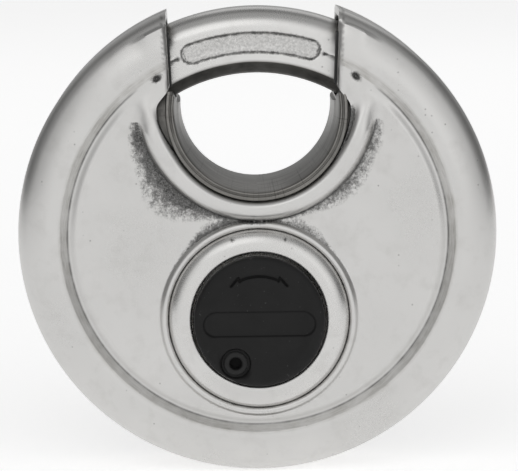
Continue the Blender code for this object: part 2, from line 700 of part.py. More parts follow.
def disc_stack(bench):
    """Detainer discs with a spacer above each but the last, and the drill-proof disc on top."""
    pitch = DETAINER_THICKNESS + SPACER_THICKNESS + 2 * STACK_CLEARANCE
    for number in range(1, DETAINER_COUNT + 1):
        low = STACK_BOTTOM + (number - 1) * pitch
        high = low + DETAINER_THICKNESS
        notch = 25.0 + 40.0 * (number % 3)
        outlines = [notched_disc(notch), keyway_outline()]
        plate(bench, f"detainer_disc_{number}", outlines, low, high, "brass", LOCK_AXIS)
        if number < DETAINER_COUNT:
            low = high + STACK_CLEARANCE
            rims = (DETAINER_RADIUS, KEYWAY_LENGTH / 2 + GAP)
            ring = [circle((0.0, 0.0), radius, SMALL_STEPS) for radius in rims]
            plate(bench, f"spacer_{number}", ring, low, low + SPACER_THICKNESS, "hardened_steel", LOCK_AXIS)
    low = high + 2 * STACK_CLEARANCE
    outlines = [circle((0.0, 0.0), DETAINER_RADIUS, MEDIUM_STEPS), keyway_outline()]
    plate(bench, "anti_drill_disc", outlines, low, low + 1.4 * MM, "hardened_steel", LOCK_AXIS)


def drive_pinion(bench):
    half = TAIL_WIDTH / 2 + GAP
    square = rectangle((-half, -half), (half, half))
    plate(bench, "drive_pinion", [pinion_outline(), square], GEAR_LOW, GEAR_HIGH, "hardened_steel", LOCK_AXIS)
    rims = (3.6 * MM, ROTOR_STUB_RADIUS + 0.1 * MM)
    clip = [circle((0.0, 0.0), radius, SMALL_STEPS) for radius in rims]
    plate(bench, "pinion_clip", clip, GEAR_LOW - 1.0 * MM, GEAR_LOW - GAP, "hardened_steel", LOCK_AXIS)


# ---------------------------------------------------------------- keyway cover

def label_outline():
    """Blank pill recess across the cover, a little below its centre."""
    half = LABEL_WIDTH / 2
    reach = LABEL_LENGTH / 2 - half
    drop = -0.4 * MM
    return arc((reach, drop), half, -90.0, 90.0, 9) + arc((-reach, drop), half, 90.0, 270.0, 9)


def keyway_cover(bench):
    top = COVER_HIGH
    rim = COVER_RADIUS
    profile = [
        (0.0, top - 0.5 * MM),
        (rim - 3.4 * MM, top - 0.4 * MM),
        (rim - 2.0 * MM, top - 0.05 * MM),
        (rim - 1.1 * MM, top),
        (rim - 0.4 * MM, top - 0.2 * MM),
        (rim, top - 0.7 * MM),
        (rim, COVER_LOW + 0.2 * MM),
        (rim - 0.2 * MM, COVER_LOW),
        (0.0, COVER_LOW),
    ]
    cover = turned(bench, "keyway_cover", profile, "black_plastic", at=LOCK_AXIS, steps=LARGE_STEPS)
    combine(cover, plate(bench, "label_cutter", [label_outline()], top - 0.75 * MM, REACH, at=LOCK_AXIS))
    sink = RIVET_HEAD_RADIUS + GAP
    combine(cover, rod(bench, "rivet_sink", sink, top - 1.0 * MM, REACH, at=RIVET_AXIS, sides=SMALL_STEPS))
    combine(cover, rod(bench, "rivet_bore", RIVET_RADIUS + GAP, 0.0, REACH, at=RIVET_AXIS, sides=TINY_STEPS))


def cover_rivet(bench):
    """Rivet that the cover turns on, clenched under the face plate's floor."""
    head_high = COVER_HIGH - 0.1 * MM
    head_low = COVER_HIGH - 0.7 * MM
    foot_high = COLLAR_FLOOR - 1.2 * MM - GAP
    foot_low = foot_high - 0.6 * MM
    foot = 1.8 * MM
    dimple = 0.9 * MM
    profile = [
        (0.0, head_high - 0.5 * MM),
        (dimple, head_high - 0.5 * MM),
        (dimple, head_high),
        (RIVET_HEAD_RADIUS, head_high),
        (RIVET_HEAD_RADIUS, head_low),
        (RIVET_RADIUS, head_low),
        (RIVET_RADIUS, foot_high),
        (foot, foot_high),
        (foot, foot_low),
        (0.0, foot_low),
    ]
    turned(bench, "cover_rivet", profile, "black_plastic", at=RIVET_AXIS, steps=SMALL_STEPS)
    washer_low = COLLAR_FLOOR + GAP
    washer = [circle((0.0, 0.0), radius, TINY_STEPS) for radius in (2.1 * MM, RIVET_RADIUS + GAP)]
    plate(bench, "cover_washer", washer, washer_low, COVER_LOW - GAP, "hardened_steel", RIVET_AXIS)


def build():
    clear_scene()
    bench = Bench()
    cutters = slot_cutter(bench)
    front_shell(bench, cutters)
    rear_shell(bench, cutters)
    path = shackle_path(bench)
    tunnel_liner(bench, path)
    rivet_holes = [(axis, CORE_RIVET_RADIUS + GAP) for axis in CORE_RIVETS]
    core_plate(bench, "core_front", CORE_FRONT, [*rivet_holes, (LOCK_AXIS, HOUSING_RADIUS + GAP)])
    core_plate(bench, "core_rear", CORE_REAR, [*rivet_holes, (LOCK_AXIS, ROTOR_STUB_RADIUS + GAP)])
    core_rivets(bench)
    guide_ring(bench, "front_guide_ring", 1)
    guide_ring(bench, "rear_guide_ring", -1)
    shackle_seal(bench, "left_shackle_seal", -1, path)
    shackle_seal(bench, "right_shackle_seal", 1, path)
    shackle(bench)
    drive_rack(bench)
    face_plate(bench)
    cylinder_housing(bench)
    rotor(bench)
    disc_stack(bench)
    drive_pinion(bench)
    cover_rivet(bench)
    keyway_cover(bench)


build()
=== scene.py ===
"""Looks of the disc padlock: fine steel surfaces, moulded cover, soft white studio.

Shapes are worked out in millimetres in the disc's own frame: x to the right, y up and depth
out of the front face, from the disc's centre on its mid-plane. at_disc() turns them into the
frame's metres.
"""

import json
import math

import bmesh
import bpy
import numpy as np
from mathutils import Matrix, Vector


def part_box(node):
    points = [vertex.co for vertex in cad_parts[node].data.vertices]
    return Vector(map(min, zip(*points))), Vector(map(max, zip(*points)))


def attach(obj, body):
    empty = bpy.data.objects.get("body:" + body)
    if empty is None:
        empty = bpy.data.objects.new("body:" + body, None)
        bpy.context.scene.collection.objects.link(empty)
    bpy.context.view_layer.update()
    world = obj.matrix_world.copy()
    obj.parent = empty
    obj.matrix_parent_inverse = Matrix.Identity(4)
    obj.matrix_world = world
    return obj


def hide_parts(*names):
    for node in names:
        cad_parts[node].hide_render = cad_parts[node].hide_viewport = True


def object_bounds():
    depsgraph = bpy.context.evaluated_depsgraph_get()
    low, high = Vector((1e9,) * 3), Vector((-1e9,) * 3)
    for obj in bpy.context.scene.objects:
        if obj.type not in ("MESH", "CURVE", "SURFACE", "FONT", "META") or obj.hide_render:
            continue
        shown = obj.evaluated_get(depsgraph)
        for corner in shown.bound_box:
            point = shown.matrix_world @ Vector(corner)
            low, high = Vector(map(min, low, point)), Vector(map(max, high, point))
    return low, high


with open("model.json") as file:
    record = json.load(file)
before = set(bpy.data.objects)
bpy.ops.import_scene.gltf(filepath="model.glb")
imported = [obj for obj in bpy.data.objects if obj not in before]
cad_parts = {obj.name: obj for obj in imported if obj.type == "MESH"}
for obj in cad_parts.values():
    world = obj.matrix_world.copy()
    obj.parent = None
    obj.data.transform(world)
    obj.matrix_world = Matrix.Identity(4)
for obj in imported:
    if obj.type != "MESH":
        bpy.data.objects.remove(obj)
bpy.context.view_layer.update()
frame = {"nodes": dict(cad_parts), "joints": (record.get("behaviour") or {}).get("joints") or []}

MM = 0.001
JOINTS = {joint["name"]: joint for joint in frame["joints"]}
DISC = np.array(JOINTS["shackle_turn"]["pos_m"])
LOCK = (np.array(JOINTS["rotor_turn"]["pos_m"]) - DISC)[[0, 2]] / MM
RIVET = (np.array(JOINTS["cover_swing"]["pos_m"]) - DISC)[[0, 2]] / MM


def extent(node, axis):
    """Lowest and highest value of a CAD node along a world axis, in millimetres from the disc's centre."""
    low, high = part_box(node)
    return (low[axis] - DISC[axis]) / MM, (high[axis] - DISC[axis]) / MM


# Disc case: radii from its axis and depths of the front face, from the panel out to the rim
DISC_RADIUS = extent("front_shell", 0)[1]
PANEL = 10.6
VALLEY_RADIUS = 31.6
VALLEY_DEPTH = 9.95
BEVEL_END = 32.85
CREST_RADIUS = 33.9
CREST_DEPTH = 10.95
RIM_START = 38.2
RIM_START_DEPTH = 9.35
SHEET = 1.3
SEAM = 0.04
CASE_SEGMENTS = 640

# Tunnel and slot: the slot lies a little off the middle and widens from its foot to the rim
TUNNEL = np.array([0.0, 21.4])
SLOT_HALF = 13.8
SLOT_CENTRE = -0.5
SLOT_TAPER = 0.046
SLOT_FOOT = 25.4
SEAL_HALF_DEPTH = 9.2
BEAD_TOP = 13.0
BEAD_INNER = 15.15
BEAD_OUTER = 18.65
CREASE_TOP = 19.4
END_DROP = 2.8
PATH_HALF_DEPTH = 5.8
DIMPLE = np.array([16.4, 26.6])

# Lock collar, cover and boss
COLLAR_RADIUS = 15.05
BOSS_TOP = extent("rear_shell", 1)[1]
COVER_RADIUS = (extent("keyway_cover", 0)[1] - extent("keyway_cover", 0)[0]) / 2 - 0.1
COVER_TOP = -extent("keyway_cover", 1)[0]
COVER_UNDER = -extent("keyway_cover", 1)[1]

# Shackle
BOW_OUTER = extent("shackle", 2)[1]
BOW_INNER = BOW_OUTER - 11.0
BOW_HALF_DEPTH = extent("shackle", 1)[1]
BOW_TIP = -42.0
BOW_HEEL = 95.0
BADGE_RADIUS = 32.0
BADGE_START = -22.6
BADGE_END = 19.6
BADGE_HALF_WIDTH = 1.85
BADGE_HALF_ANGLE = 3.1

# Studio and camera
SIDE_LIGHT = 0.14
CAMERA_ELEVATION = 8.0
CAMERA_AZIMUTH = -0.96
CAMERA_ROLL = -0.67
CAMERA_DISTANCE = 0.450
CAMERA_TARGET = np.array([0.32, 0.0, -1.13])
LENS = 184.3


# ---------------------------------------------------------------- mesh tools

def at_disc(points):
    """Disc millimetres (x, y, depth) as world metres."""
    points = np.asarray(points, float)
    return np.stack([points[..., 0], -points[..., 2], points[..., 1]], axis=-1) * MM + DISC


def smooth(low, high, value):
    """Soft step from 0 at low to 1 at high."""
    t = np.clip((np.asarray(value, float) - low) / (high - low), 0.0, 1.0)
    return t * t * (3.0 - 2.0 * t)


def bell(offset, width):
    """Soft ridge, 1 at offset 0."""
    return np.exp(-((offset / width) ** 2))


def soft_max(a, b, blend):
    """Larger of two heights, with a fillet about as wide as blend."""
    mix = np.clip(0.5 + 0.5 * (a - b) / blend, 0.0, 1.0)
    return b + (a - b) * mix + blend * mix * (1.0 - mix)


def new_object(name, points, faces):
    """Object whose points are given in disc millimetres."""
    mesh = bpy.data.meshes.new(name)
    mesh.from_pydata([tuple(p) for p in at_disc(points)], [], faces)
    mesh.update()
    obj = bpy.data.objects.new(name, mesh)
    bpy.context.scene.collection.objects.link(obj)
    return obj


def grid_faces(rows, columns, wrap_rows=False):
    """Quads over a grid whose columns close on themselves."""
    faces = []
    for row in range(rows if wrap_rows else rows - 1):
        below = (row + 1) % rows
        for column in range(columns):
            beside = (column + 1) % columns
            corners = ((row, column), (row, beside), (below, beside), (below, column))
            faces.append(tuple(r * columns + c for r, c in corners))
    return faces


def face_outwards(obj):
    """Point every face out of its closed body."""
    shape = bmesh.new()
    shape.from_mesh(obj.data)
    bmesh.ops.recalc_face_normals(shape, faces=shape.faces)
    shape.to_mesh(obj.data)
    shape.free()


def polar_body(name, rings, segments, centre=(0.0, 0.0)):
    """Closed body of rings about an axis along the depth.

    Each ring is (radius, depth); depth is a number or a function of x and y. Where the first and
    last radius are 0 the body closes on its axis, and otherwise the last ring joins the first.
    """
    angles = np.arange(segments) * math.tau / segments
    solid = rings[0][0] == 0
    body_rings = rings[1:-1] if solid else rings
    points = []
    for radius, depth in body_rings:
        x = centre[0] + radius * np.cos(angles)
        y = centre[1] + radius * np.sin(angles)
        height = depth(x, y) if callable(depth) else np.full(segments, float(depth))
        points.append(np.stack([x, y, height], axis=-1))
    count = len(body_rings)
    vertices = np.concatenate(points)
    faces = grid_faces(count, segments, wrap_rows=not solid)
    if solid:
        poles = []
        for _, depth in (rings[0], rings[-1]):
            height = depth(np.array([centre[0]]), np.array([centre[1]]))[0] if callable(depth) else depth
            poles.append((centre[0], centre[1], height))
        first = len(vertices)
        vertices = np.concatenate([vertices, poles])
        last_row = (count - 1) * segments
        for column in range(segments):
            beside = (column + 1) % segments
            faces.append((first, beside, column))
            faces.append((first + 1, last_row + column, last_row + beside))
    obj = new_object(name, vertices, faces)
    face_outwards(obj)
    return obj


def prism(name, outline, low, high):
    """Closed upright prism over an outline of (x, y) points."""
    count = len(outline)
    points = [(x, y, low) for x, y in outline] + [(x, y, high) for x, y in outline]
    faces = [tuple(range(count)), tuple(range(count, 2 * count))]
    for i in range(count):
        j = (i + 1) % count
        faces.append((i, j, count + j, count + i))
    obj = new_object(name, points, faces)
    face_outwards(obj)
    return obj


def cut(obj, tool):
    """Take a throw-away tool's volume out of the object."""
    modifier = obj.modifiers.new("cut", "BOOLEAN")
    modifier.operation = "DIFFERENCE"
    modifier.solver = "MANIFOLD"
    modifier.object = tool
    bpy.context.view_layer.update()
    graph = bpy.context.evaluated_depsgraph_get()
    mesh = bpy.data.meshes.new_from_object(obj.evaluated_get(graph))
    obj.modifiers.clear()
    old = obj.data
    obj.data = mesh
    mesh.name = obj.name
    bpy.data.meshes.remove(old)
    bpy.data.objects.remove(tool, do_unlink=True)


def finish_piece(obj, body, material, nodes, sharp=38.0):
    """Shade, dress and seat one finished piece."""
    obj.data.shade_smooth()
    obj.data.set_sharp_from_angle(angle=math.radians(sharp))
    obj.data.materials.clear()
    obj.data.materials.append(material)
    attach(obj, body)
    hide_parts(*nodes)


def local_points(obj):
    """The mesh's points as x, y and depth in disc millimetres."""
    points = np.empty(len(obj.data.vertices) * 3)
    obj.data.vertices.foreach_get("co", points)
    local = (points.reshape(-1, 3) - DISC) / MM
    return local[:, 0], local[:, 2], -local[:, 1]


def paint(obj, name, function):
    """Store a value per vertex, as function(x, y, depth) in disc millimetres."""
    values = function(*local_points(obj))
    layer = obj.data.attributes.new(name, "FLOAT", "POINT")
    layer.data.foreach_set("value", np.asarray(values, np.float32))


def reshape_depth(obj, function):
    """Give each point the depth that function works out from its x, y and old depth."""
    x, y, depth = local_points(obj)
    points = at_disc(np.stack([x, y, function(x, y, depth)], axis=-1))
    obj.data.vertices.foreach_set("co", points.ravel())
    obj.data.update()


def tunnel_reach(x, y):
    """Distance from the tunnel's axis, or above it from the slot's middle plane."""
    return np.hypot(x, np.minimum(y, TUNNEL[1]) - TUNNEL[1])


def lock_reach(x, y):
    """Distance from the lock's axis."""
    return np.hypot(x - LOCK[0], y - LOCK[1])


def side_bearing(x, y):
    """Angle from straight up in degrees, the same to the left and to the right."""
    return np.degrees(np.arctan2(np.abs(x), y))


# ---------------------------------------------------------------- shape of the pressed shells

def ring_height(x, y):
    """Panel, valley and stepped outer ring, before the tunnel's bead.

    Above the tunnel's shoulders the valley fades into the panel.
    """
    radius = np.hypot(x, y)
    filled = 1.0 - smooth(36.0, 50.0, side_bearing(x, y))
    valley = VALLEY_DEPTH + (PANEL + 0.15 - VALLEY_DEPTH) * filled
    panel = PANEL + (valley - PANEL) * smooth(VALLEY_RADIUS - 1.7, VALLEY_RADIUS, radius)
    along = np.clip((radius - VALLEY_RADIUS) / (BEVEL_END - VALLEY_RADIUS), 0, 1)
    bevel = valley + (CREST_DEPTH - 0.12 - valley) * along
    bevel = bevel + 0.12 * smooth(BEVEL_END - 0.3, CREST_RADIUS, radius)
    fall = np.clip((radius - CREST_RADIUS) / (RIM_START - CREST_RADIUS), 0, 1.5)
    ring = bevel - (CREST_DEPTH - RIM_START_DEPTH) * fall ** 1.6
    return np.where(radius < VALLEY_RADIUS, panel, ring)


def slot_half_width(y):
    """The slot is a little wider at the disc's rim than at the tunnel."""
    return SLOT_HALF + SLOT_TAPER * np.maximum(y - SLOT_FOOT, 0.0)


def mouth_spread(y):
    """How far the mouth has widened on its way up to the slot, from 0 to 1."""
    return smooth(13.0, 21.0, y)


def bead_inner(y):
    """Radius of the opening's edge, which is the bead's inner edge."""
    return BEAD_INNER + 0.85 * mouth_spread(y)


def bead_outer(y):
    """Radius of the crease at the bead's foot."""
    return BEAD_OUTER + 1.05 * np.clip((y - 2.7) / 16.0, 0.0, 1.4) ** 1.3


def opening_half_width(y):
    """Half width of the opening in the shell at a height, from the tunnel's foot to the slot."""
    inner = bead_inner(y)
    drop = np.clip((TUNNEL[1] - y) / inner, 0.0, 1.0)
    circle = inner * np.sqrt(1.0 - drop ** 2)
    return circle + (slot_half_width(y) - circle) * smooth(TUNNEL[1] + 0.2, SLOT_FOOT, y)


def end_drop(y):
    """How far the bead and the lining's edge sink towards the slot's corners."""
    return END_DROP * smooth(14.0, 29.0, y)


def bead_height(x, y):
    """Rolled lip round the tunnel, which dies out in the slot's corners.

    Its foot is a sharp crease low down and a soft slope beside the slot.
    """
    inner = bead_inner(y)
    inner = inner + (slot_half_width(y) - inner) * smooth(TUNNEL[1] + 0.2, SLOT_FOOT, y)
    outer = bead_outer(y) + 3.2 * smooth(18.0, 23.5, y)
    across = (tunnel_reach(x, y) - inner) / (outer - inner)
    crest = 0.3
    rise = np.clip((crest - across) / crest, 0.0, 1.0)
    fall = np.clip((across - crest) / (1.0 - crest), 0.0, 1.0)
    round_foot = (1.0 - np.sqrt(1.0 - 0.865 * fall ** 2.8)) / 0.632
    soft_foot = fall * fall * (3.0 - 2.0 * fall)
    soft = smooth(17.5, 22.5, y)
    dome = round_foot + (soft_foot - round_foot) * soft
    beyond = np.maximum(across - 1.0, 0.0)
    away = 2.5 * beyond * (1.0 - soft) + 0.7 * beyond ** 2 * soft
    crown = BEAD_TOP - 0.95 * rise ** 2 - (BEAD_TOP - PANEL + 0.1) * dome
    return crown - away - end_drop(y)


def lip_height(x, y, radius, width, height):
    """Small rounded lip round the lock's axis."""
    offset = (lock_reach(x, y) - radius) / width
    return np.where(np.abs(offset) < 1.0, height - 0.9 * offset ** 2, PANEL - 2.0)


def pit(x, y, centre, radius, depth):
    """Small round dent."""
    return depth * bell(np.hypot(x - centre[0], y - centre[1]), radius)


def shell_height(x, y):
    """Ring and bead, with the two dimples and the slot's rolled edges."""
    blend = 0.12 + 0.9 * smooth(16.0, 22.5, y)
    height = soft_max(ring_height(x, y), bead_height(x, y), blend)
    for side in (-1.0, 1.0):
        height = height - pit(x, y, DIMPLE * (side, 1.0), 0.5, 0.75)
    from_edge = np.abs(x - SLOT_CENTRE) - slot_half_width(y)
    rolled = np.clip(1.0 - from_edge / 0.9, 0.0, 1.0) ** 2 * smooth(22.0, 25.0, y)
    return height - 0.75 * rolled


def front_height(x, y):
    """Front shell: a small lip runs round the lock's collar."""
    lip = lip_height(x, y, COLLAR_RADIUS + 0.62, 0.85, 11.5)
    return soft_max(shell_height(x, y), lip, 0.15)


def rear_height(x, y):
    """Rear shell: a closed boss takes the place of the lock's collar."""
    reach = lock_reach(x, y)
    boss = BOSS_TOP - 2.6 * smooth(13.4, 15.6, reach)
    boss = np.where(reach > 16.2, PANEL - 2.0, boss)
    return soft_max(shell_height(x, y), boss, 0.2)


def rim_rings():
    """Round-over of the rim, which meets the ring's slope, down to the seam."""
    slope = math.atan(1.6 * (CREST_DEPTH - RIM_START_DEPTH) / (RIM_START - CREST_RADIUS))
    radius = (DISC_RADIUS - RIM_START) / (1.0 - math.sin(slope))
    centre = (DISC_RADIUS - radius, RIM_START_DEPTH - radius * math.cos(slope))
    rings = []
    for step in range(1, 13):
        angle = (math.pi / 2 - slope) * (1.0 - step / 12)
        rings.append((centre[0] + radius * math.cos(angle), centre[1] + radius * math.sin(angle)))
    return rings


def shell_rings(height):
    """Rings of one shell, from the outer face's centre round the rim to the inner face's centre."""
    coarse = 0.3
    fine = 0.15
    radii = [*np.arange(coarse, 29.4, coarse), *np.arange(29.4, 33.6, fine)]
    radii += [*np.arange(33.6, RIM_START + 0.01, coarse)]
    rings = [(0.0, height)] + [(radius, height) for radius in radii]
    rim = rim_rings()
    rings += rim
    rings += [(DISC_RADIUS, depth) for depth in (rim[-1][1] * 0.6, rim[-1][1] * 0.3, SEAM + 0.35)]
    rings += [(DISC_RADIUS - 0.12, SEAM + 0.1), (DISC_RADIUS - 0.3, SEAM)]
    inner = [(DISC_RADIUS - SHEET, SEAM), (DISC_RADIUS - SHEET, rim[-1][1] - 0.3)]
    inner += [(DISC_RADIUS - 2.4, RIM_START_DEPTH - 2.3), (RIM_START - 1.4, RIM_START_DEPTH - 1.1)]
    inner += [(CREST_RADIUS, CREST_DEPTH - SHEET), (VALLEY_RADIUS, VALLEY_DEPTH - SHEET)]
    inner += [(radius, PANEL - SHEET) for radius in (29.2, 20.0, 10.0, 0.0)]
    return rings + inner


def opening_outline():
    """Outline of the tunnel and the slot, as one closed curve."""
    foot = TUNNEL[1] - BEAD_INNER
    heights = foot + (TUNNEL[1] - foot) * (1.0 - np.cos(np.linspace(0.0, math.pi / 2, 60)))
    heights = np.concatenate([heights, np.linspace(TUNNEL[1] + 0.2, SLOT_FOOT, 16), [DISC_RADIUS + 5.0]])
    half = [float(opening_half_width(y)) for y in heights]
    shift = [SLOT_CENTRE * float(mouth_spread(y)) for y in heights]
    right = [(middle + width, float(y)) for middle, width, y in zip(shift, half, heights)]
    left = [(middle - width, float(y)) for middle, width, y in zip(shift, half, heights)]
    return right + left[:0:-1]


def circle_outline(centre, radius, count=160):
    """Outline of a round hole."""
    angles = np.arange(count) * math.tau / count
    return [(centre[0] + radius * math.cos(a), centre[1] + radius * math.sin(a)) for a in angles]


def bead_patch(x, y):
    """Grime beside the bead's foot, wider and stronger on the left."""
    beyond = tunnel_reach(x, y) - bead_outer(y)
    foot = np.degrees(np.arctan2(x, TUNNEL[1] - y))
    left_width = 0.6 + 5.6 * bell(foot + 46.0, 18.0) + 1.9 * bell(foot + 73.0, 12.0)
    right_width = 0.6 + 2.8 * bell(foot - 50.0, 19.0) + 1.4 * bell(foot - 76.0, 10.0)
    width = np.where(x < 0, left_width, right_width)
    strength = np.where(x < 0, 1.0, 0.62)
    patch = np.where(beyond > 0, 1.0 - beyond / width, 1.0 + beyond / 0.15) * strength
    return patch * (y < CREASE_TOP) * (np.hypot(x, y) < 28.6)


def lip_patch(x, y):
    """Grime outside the collar's lip, at its top."""
    around = lock_reach(x, y) - COLLAR_RADIUS - 1.45
    bearing = side_bearing(x - LOCK[0], y - LOCK[1])
    width = 0.25 + 1.7 * bell(bearing - 26.0, 16.0)
    patch = np.where(around > 0, 1.0 - around / width, 1.0 + around / 0.12)
    return patch * np.exp(-((bearing / 56.0) ** 4)) * np.where(x < 0, 1.0, 0.6)


def dimple_marks(x, y):
    """Dark slanting marks in the two dimples."""
    marks = 0.0
    for side in (-1.0, 1.0):
        along = (x - side * DIMPLE[0]) * 0.8 + (y - DIMPLE[1]) * side * -0.6
        across = (x - side * DIMPLE[0]) * 0.6 + (y - DIMPLE[1]) * side * 0.8
        marks = marks + bell(along, 0.75) * bell(across, 0.45)
    return 1.5 * marks


def shell_grime_and_shade(x, y, depth):
    """Where the polishing wheel doesn't reach, with painted shade on the inside of the sheet and in the gap
    at the tunnel's mouth.
    """
    # Painted shade on the sheet's inside faces and the opening's cut walls.
    inside = smooth(0.3, 0.8, shell_height(x, y) - np.abs(depth)) * (np.hypot(x, y) < VALLEY_RADIUS)
    edge = 1.0 - smooth(0.1, 0.4, tunnel_reach(x, y) - bead_inner(y))
    # Painted shade along the opening's edge, in the gap beside the lining.
    mouth = 0.75 * edge * smooth(11.0, 17.0, y) * (1.0 - smooth(20.5, 22.5, y))
    layers = [bead_patch(x, y), lip_patch(x, y), dimple_marks(x, y), inside, mouth]
    return np.clip(np.maximum.reduce(layers), 0.0, 1.0)


def shell_crease_shade(x, y, depth):
    """Painted shade: a thin dark line at the foot of the step, at the bead's foot and beside the slot."""
    valley = bell(np.hypot(x, y) - VALLEY_RADIUS, 0.14) * smooth(37.0, 42.0, side_bearing(x, y))
    bead = bell(tunnel_reach(x, y) - bead_outer(y), 0.2) * (1.0 - smooth(18.2, 19.8, y))
    from_edge = np.abs(x - SLOT_CENTRE) - slot_half_width(y)
    edge = 0.6 * bell(from_edge - 0.7, 0.12) * smooth(26.0, 31.0, y)
    return np.clip(valley + bead + edge, 0.0, 1.0)


def shell_brush(x, y, depth):
    """Turned finish on the bevel of the step."""
    radius = np.hypot(x, y)
    begun = smooth(VALLEY_RADIUS, VALLEY_RADIUS + 0.2, radius)
    return begun * (1.0 - smooth(BEVEL_END - 0.2, BEVEL_END + 0.5, radius))


def settle(obj, height):
    """Put the outer face's points exactly on its height, also those that a cut has added."""

    def on_face(x, y, depth):
        target = height(x, y)
        outer = (np.hypot(x, y) < RIM_START) & (np.abs(depth - target) < 0.4)
        return np.where(outer, target, depth)

    reshape_depth(obj, on_face)


def flip_depth(obj):
    """Turn a front piece into a rear one, mirrored in the mid-plane."""
    for vertex in obj.data.vertices:
        vertex.co.y = 2.0 * DISC[1] - vertex.co.y
    face_outwards(obj)


def case_shell(name, node, height, material, rear):
    """One pressed half of the case, cut open for the tunnel, the slot and the collar."""
    shell = polar_body(name, shell_rings(height), CASE_SEGMENTS)
    cut(shell, prism("opening_tool", opening_outline(), -2.0, 20.0))
    settle(shell, height)
    if rear:
        flip_depth(shell)
    else:
        cut(shell, prism("collar_tool", circle_outline(LOCK, COLLAR_RADIUS + 0.05), -2.0, 20.0))
    paint(shell, "grime_and_shade", shell_grime_and_shade)
    paint(shell, "crease", shell_crease_shade)
    paint(shell, "brush", shell_brush)
    finish_piece(shell, "case", material, [node], sharp=50.0)


# ---------------------------------------------------------------- tunnel lining and slot edges

def bow_path(name, clearance, half_depth):
    """Ring that the bow sweeps as it turns, as a cutting tool."""
    inner = BOW_INNER - clearance
    outer = BOW_OUTER + 3
    path = [(inner, half_depth), (outer, half_depth), (outer, -half_depth), (inner, -half_depth)]
    return polar_body(name, path, 256)


def bump_rings(centre, radius, width, start, end, count):
    """Arc of section points round a small rolled edge, in degrees from the outward direction."""
    angles = np.radians(np.linspace(start, end, count))
    return [(centre + width * math.cos(a), radius + width * math.sin(a)) for a in angles]


def tunnel_lining(material):
    """Waisted sheet with a doubly rolled edge at each mouth."""
    half = extent("tunnel_liner", 1)[1]
    mouth = 13.7
    waist = 12.65

    def radius_at(depth):
        return waist + (mouth - waist) * abs(depth / half) ** 2.2

    depths = np.linspace(-half + 0.5, half - 0.5, 41)
    inner = [(radius_at(d), d) for d in depths]
    edge = bump_rings(13.93, half - 0.2, 0.2, 170.0, 20.0, 6)
    edge += bump_rings(14.7, half - 0.42, 0.38, 150.0, 0.0, 8)
    flange = [(15.08, half - 1.2), (14.8, 9.2), (17.2, 9.1), (17.2, 8.4), (14.5, 8.2)]
    outer = [*flange, (waist + 0.9, 0.0), *[(r, -d) for r, d in reversed(flange)]]
    back = [(r, -d) for r, d in reversed(edge)]
    lining = polar_body("tunnel_lining", inner + edge + outer + back, 256, TUNNEL)
    cut(lining, bow_path("lining_path_tool", 0.35, PATH_HALF_DEPTH + 0.1))
    ear = [(18.0, 24.9), (15.9, 24.9), (13.9, 24.2), (13.3, 23.0), (13.2, 22.5), (12.7, 22.2), (12.4, 21.2)]
    right = [(18.0, 60.0), *ear, (11.0, 20.6)]
    cut(lining, prism("lining_top_tool", right + [(-x, y) for x, y in reversed(right)], -20, 20))

    def sink(x, y, depth):
        return depth - np.sign(depth) * end_drop(y) * smooth(6.5, 10.0, np.abs(depth))

    reshape_depth(lining, sink)

    # Painted shade in the groove between the rolled edges and on the flange in the gap under the shell.
    def grime_and_shade(x, y, depth):
        reach = np.hypot(x - TUNNEL[0], y - TUNNEL[1])
        grooves = bell(reach - 14.22, 0.1) + smooth(15.0, 15.1, reach)
        return np.clip(grooves * (np.abs(depth) > 8.0), 0.0, 1.0)

    paint(lining, "grime_and_shade", grime_and_shade)
    finish_piece(lining, "case", material, ["tunnel_liner"], sharp=40.0)


def seal_and_gap_shade(name, side, material):
    """Black seal cheek, set out to the slot's edge so that it shows as a thin dark line between the shell's
    edge and the shackle, standing in for the shade in that gap.
    """
    inner = [(SLOT_CENTRE + side * (slot_half_width(y) - 0.34), y) for y in (25.2, 29.0, 32.0, 33.8)]
    outline = [*inner, (side * 16.4, 33.4), (side * 16.4, 25.2)]
    seal = prism(name.replace("shackle", "slot"), outline, -SEAL_HALF_DEPTH, SEAL_HALF_DEPTH)
    cut(seal, bow_path("seal_path_tool", 0.3, PATH_HALF_DEPTH))
    finish_piece(seal, "case", material, [name], sharp=30.0)


# ---------------------------------------------------------------- shackle

def bow_section():
    """Section of the bow as (radius, depth), well rounded outside and chamfered inside."""
    corner = 3.9
    half = BOW_HALF_DEPTH
    flat_start = BOW_INNER + 2.0
    flat_end = BOW_OUTER - corner
    points = []
    for angle in np.linspace(90.0, 0.0, 14):
        a = math.radians(angle)
        points.append((flat_end + corner * math.cos(a), half - corner + corner * math.sin(a)))
    points += [(r, -d) for r, d in reversed(points[:-1])]
    points += [(r, -half) for r in np.linspace(flat_end, flat_start, 8)[1:]]
    steps = np.linspace(0.0, 1.0, 7)[1:]
    chamfer = [(flat_start - 2.0 * t ** 1.15, -half + 2.7 * t ** 1.35) for t in steps]
    points += chamfer
    points += [(BOW_INNER, d) for d in np.linspace(-half + 3.4, half - 3.4, 5)]
    points += [(r, -d) for r, d in reversed(chamfer)]
    points += [(r, half) for r in np.linspace(flat_start, flat_end, 22)[:-1]]
    return points


def badge_distance(radius, bearing):
    """Signed distance to the edge of the badge's pill, negative inside."""
    middle = np.clip(bearing, BADGE_START + BADGE_HALF_ANGLE, BADGE_END - BADGE_HALF_ANGLE)
    along = np.radians(bearing - middle) * BADGE_RADIUS
    return np.hypot(along, radius - BADGE_RADIUS) - BADGE_HALF_WIDTH


def bow_groove(radius, bearing):
    """Mould line that runs from the badge's ends into the case."""
    gap = np.where(bearing < 0, BADGE_START - 0.9 - bearing, bearing - BADGE_END - 0.9)
    width = np.clip(0.36 - 0.16 * gap, 0.13, 0.36)
    return bell(radius - BADGE_RADIUS - 0.1, width) * smooth(-0.2, 0.4, gap)


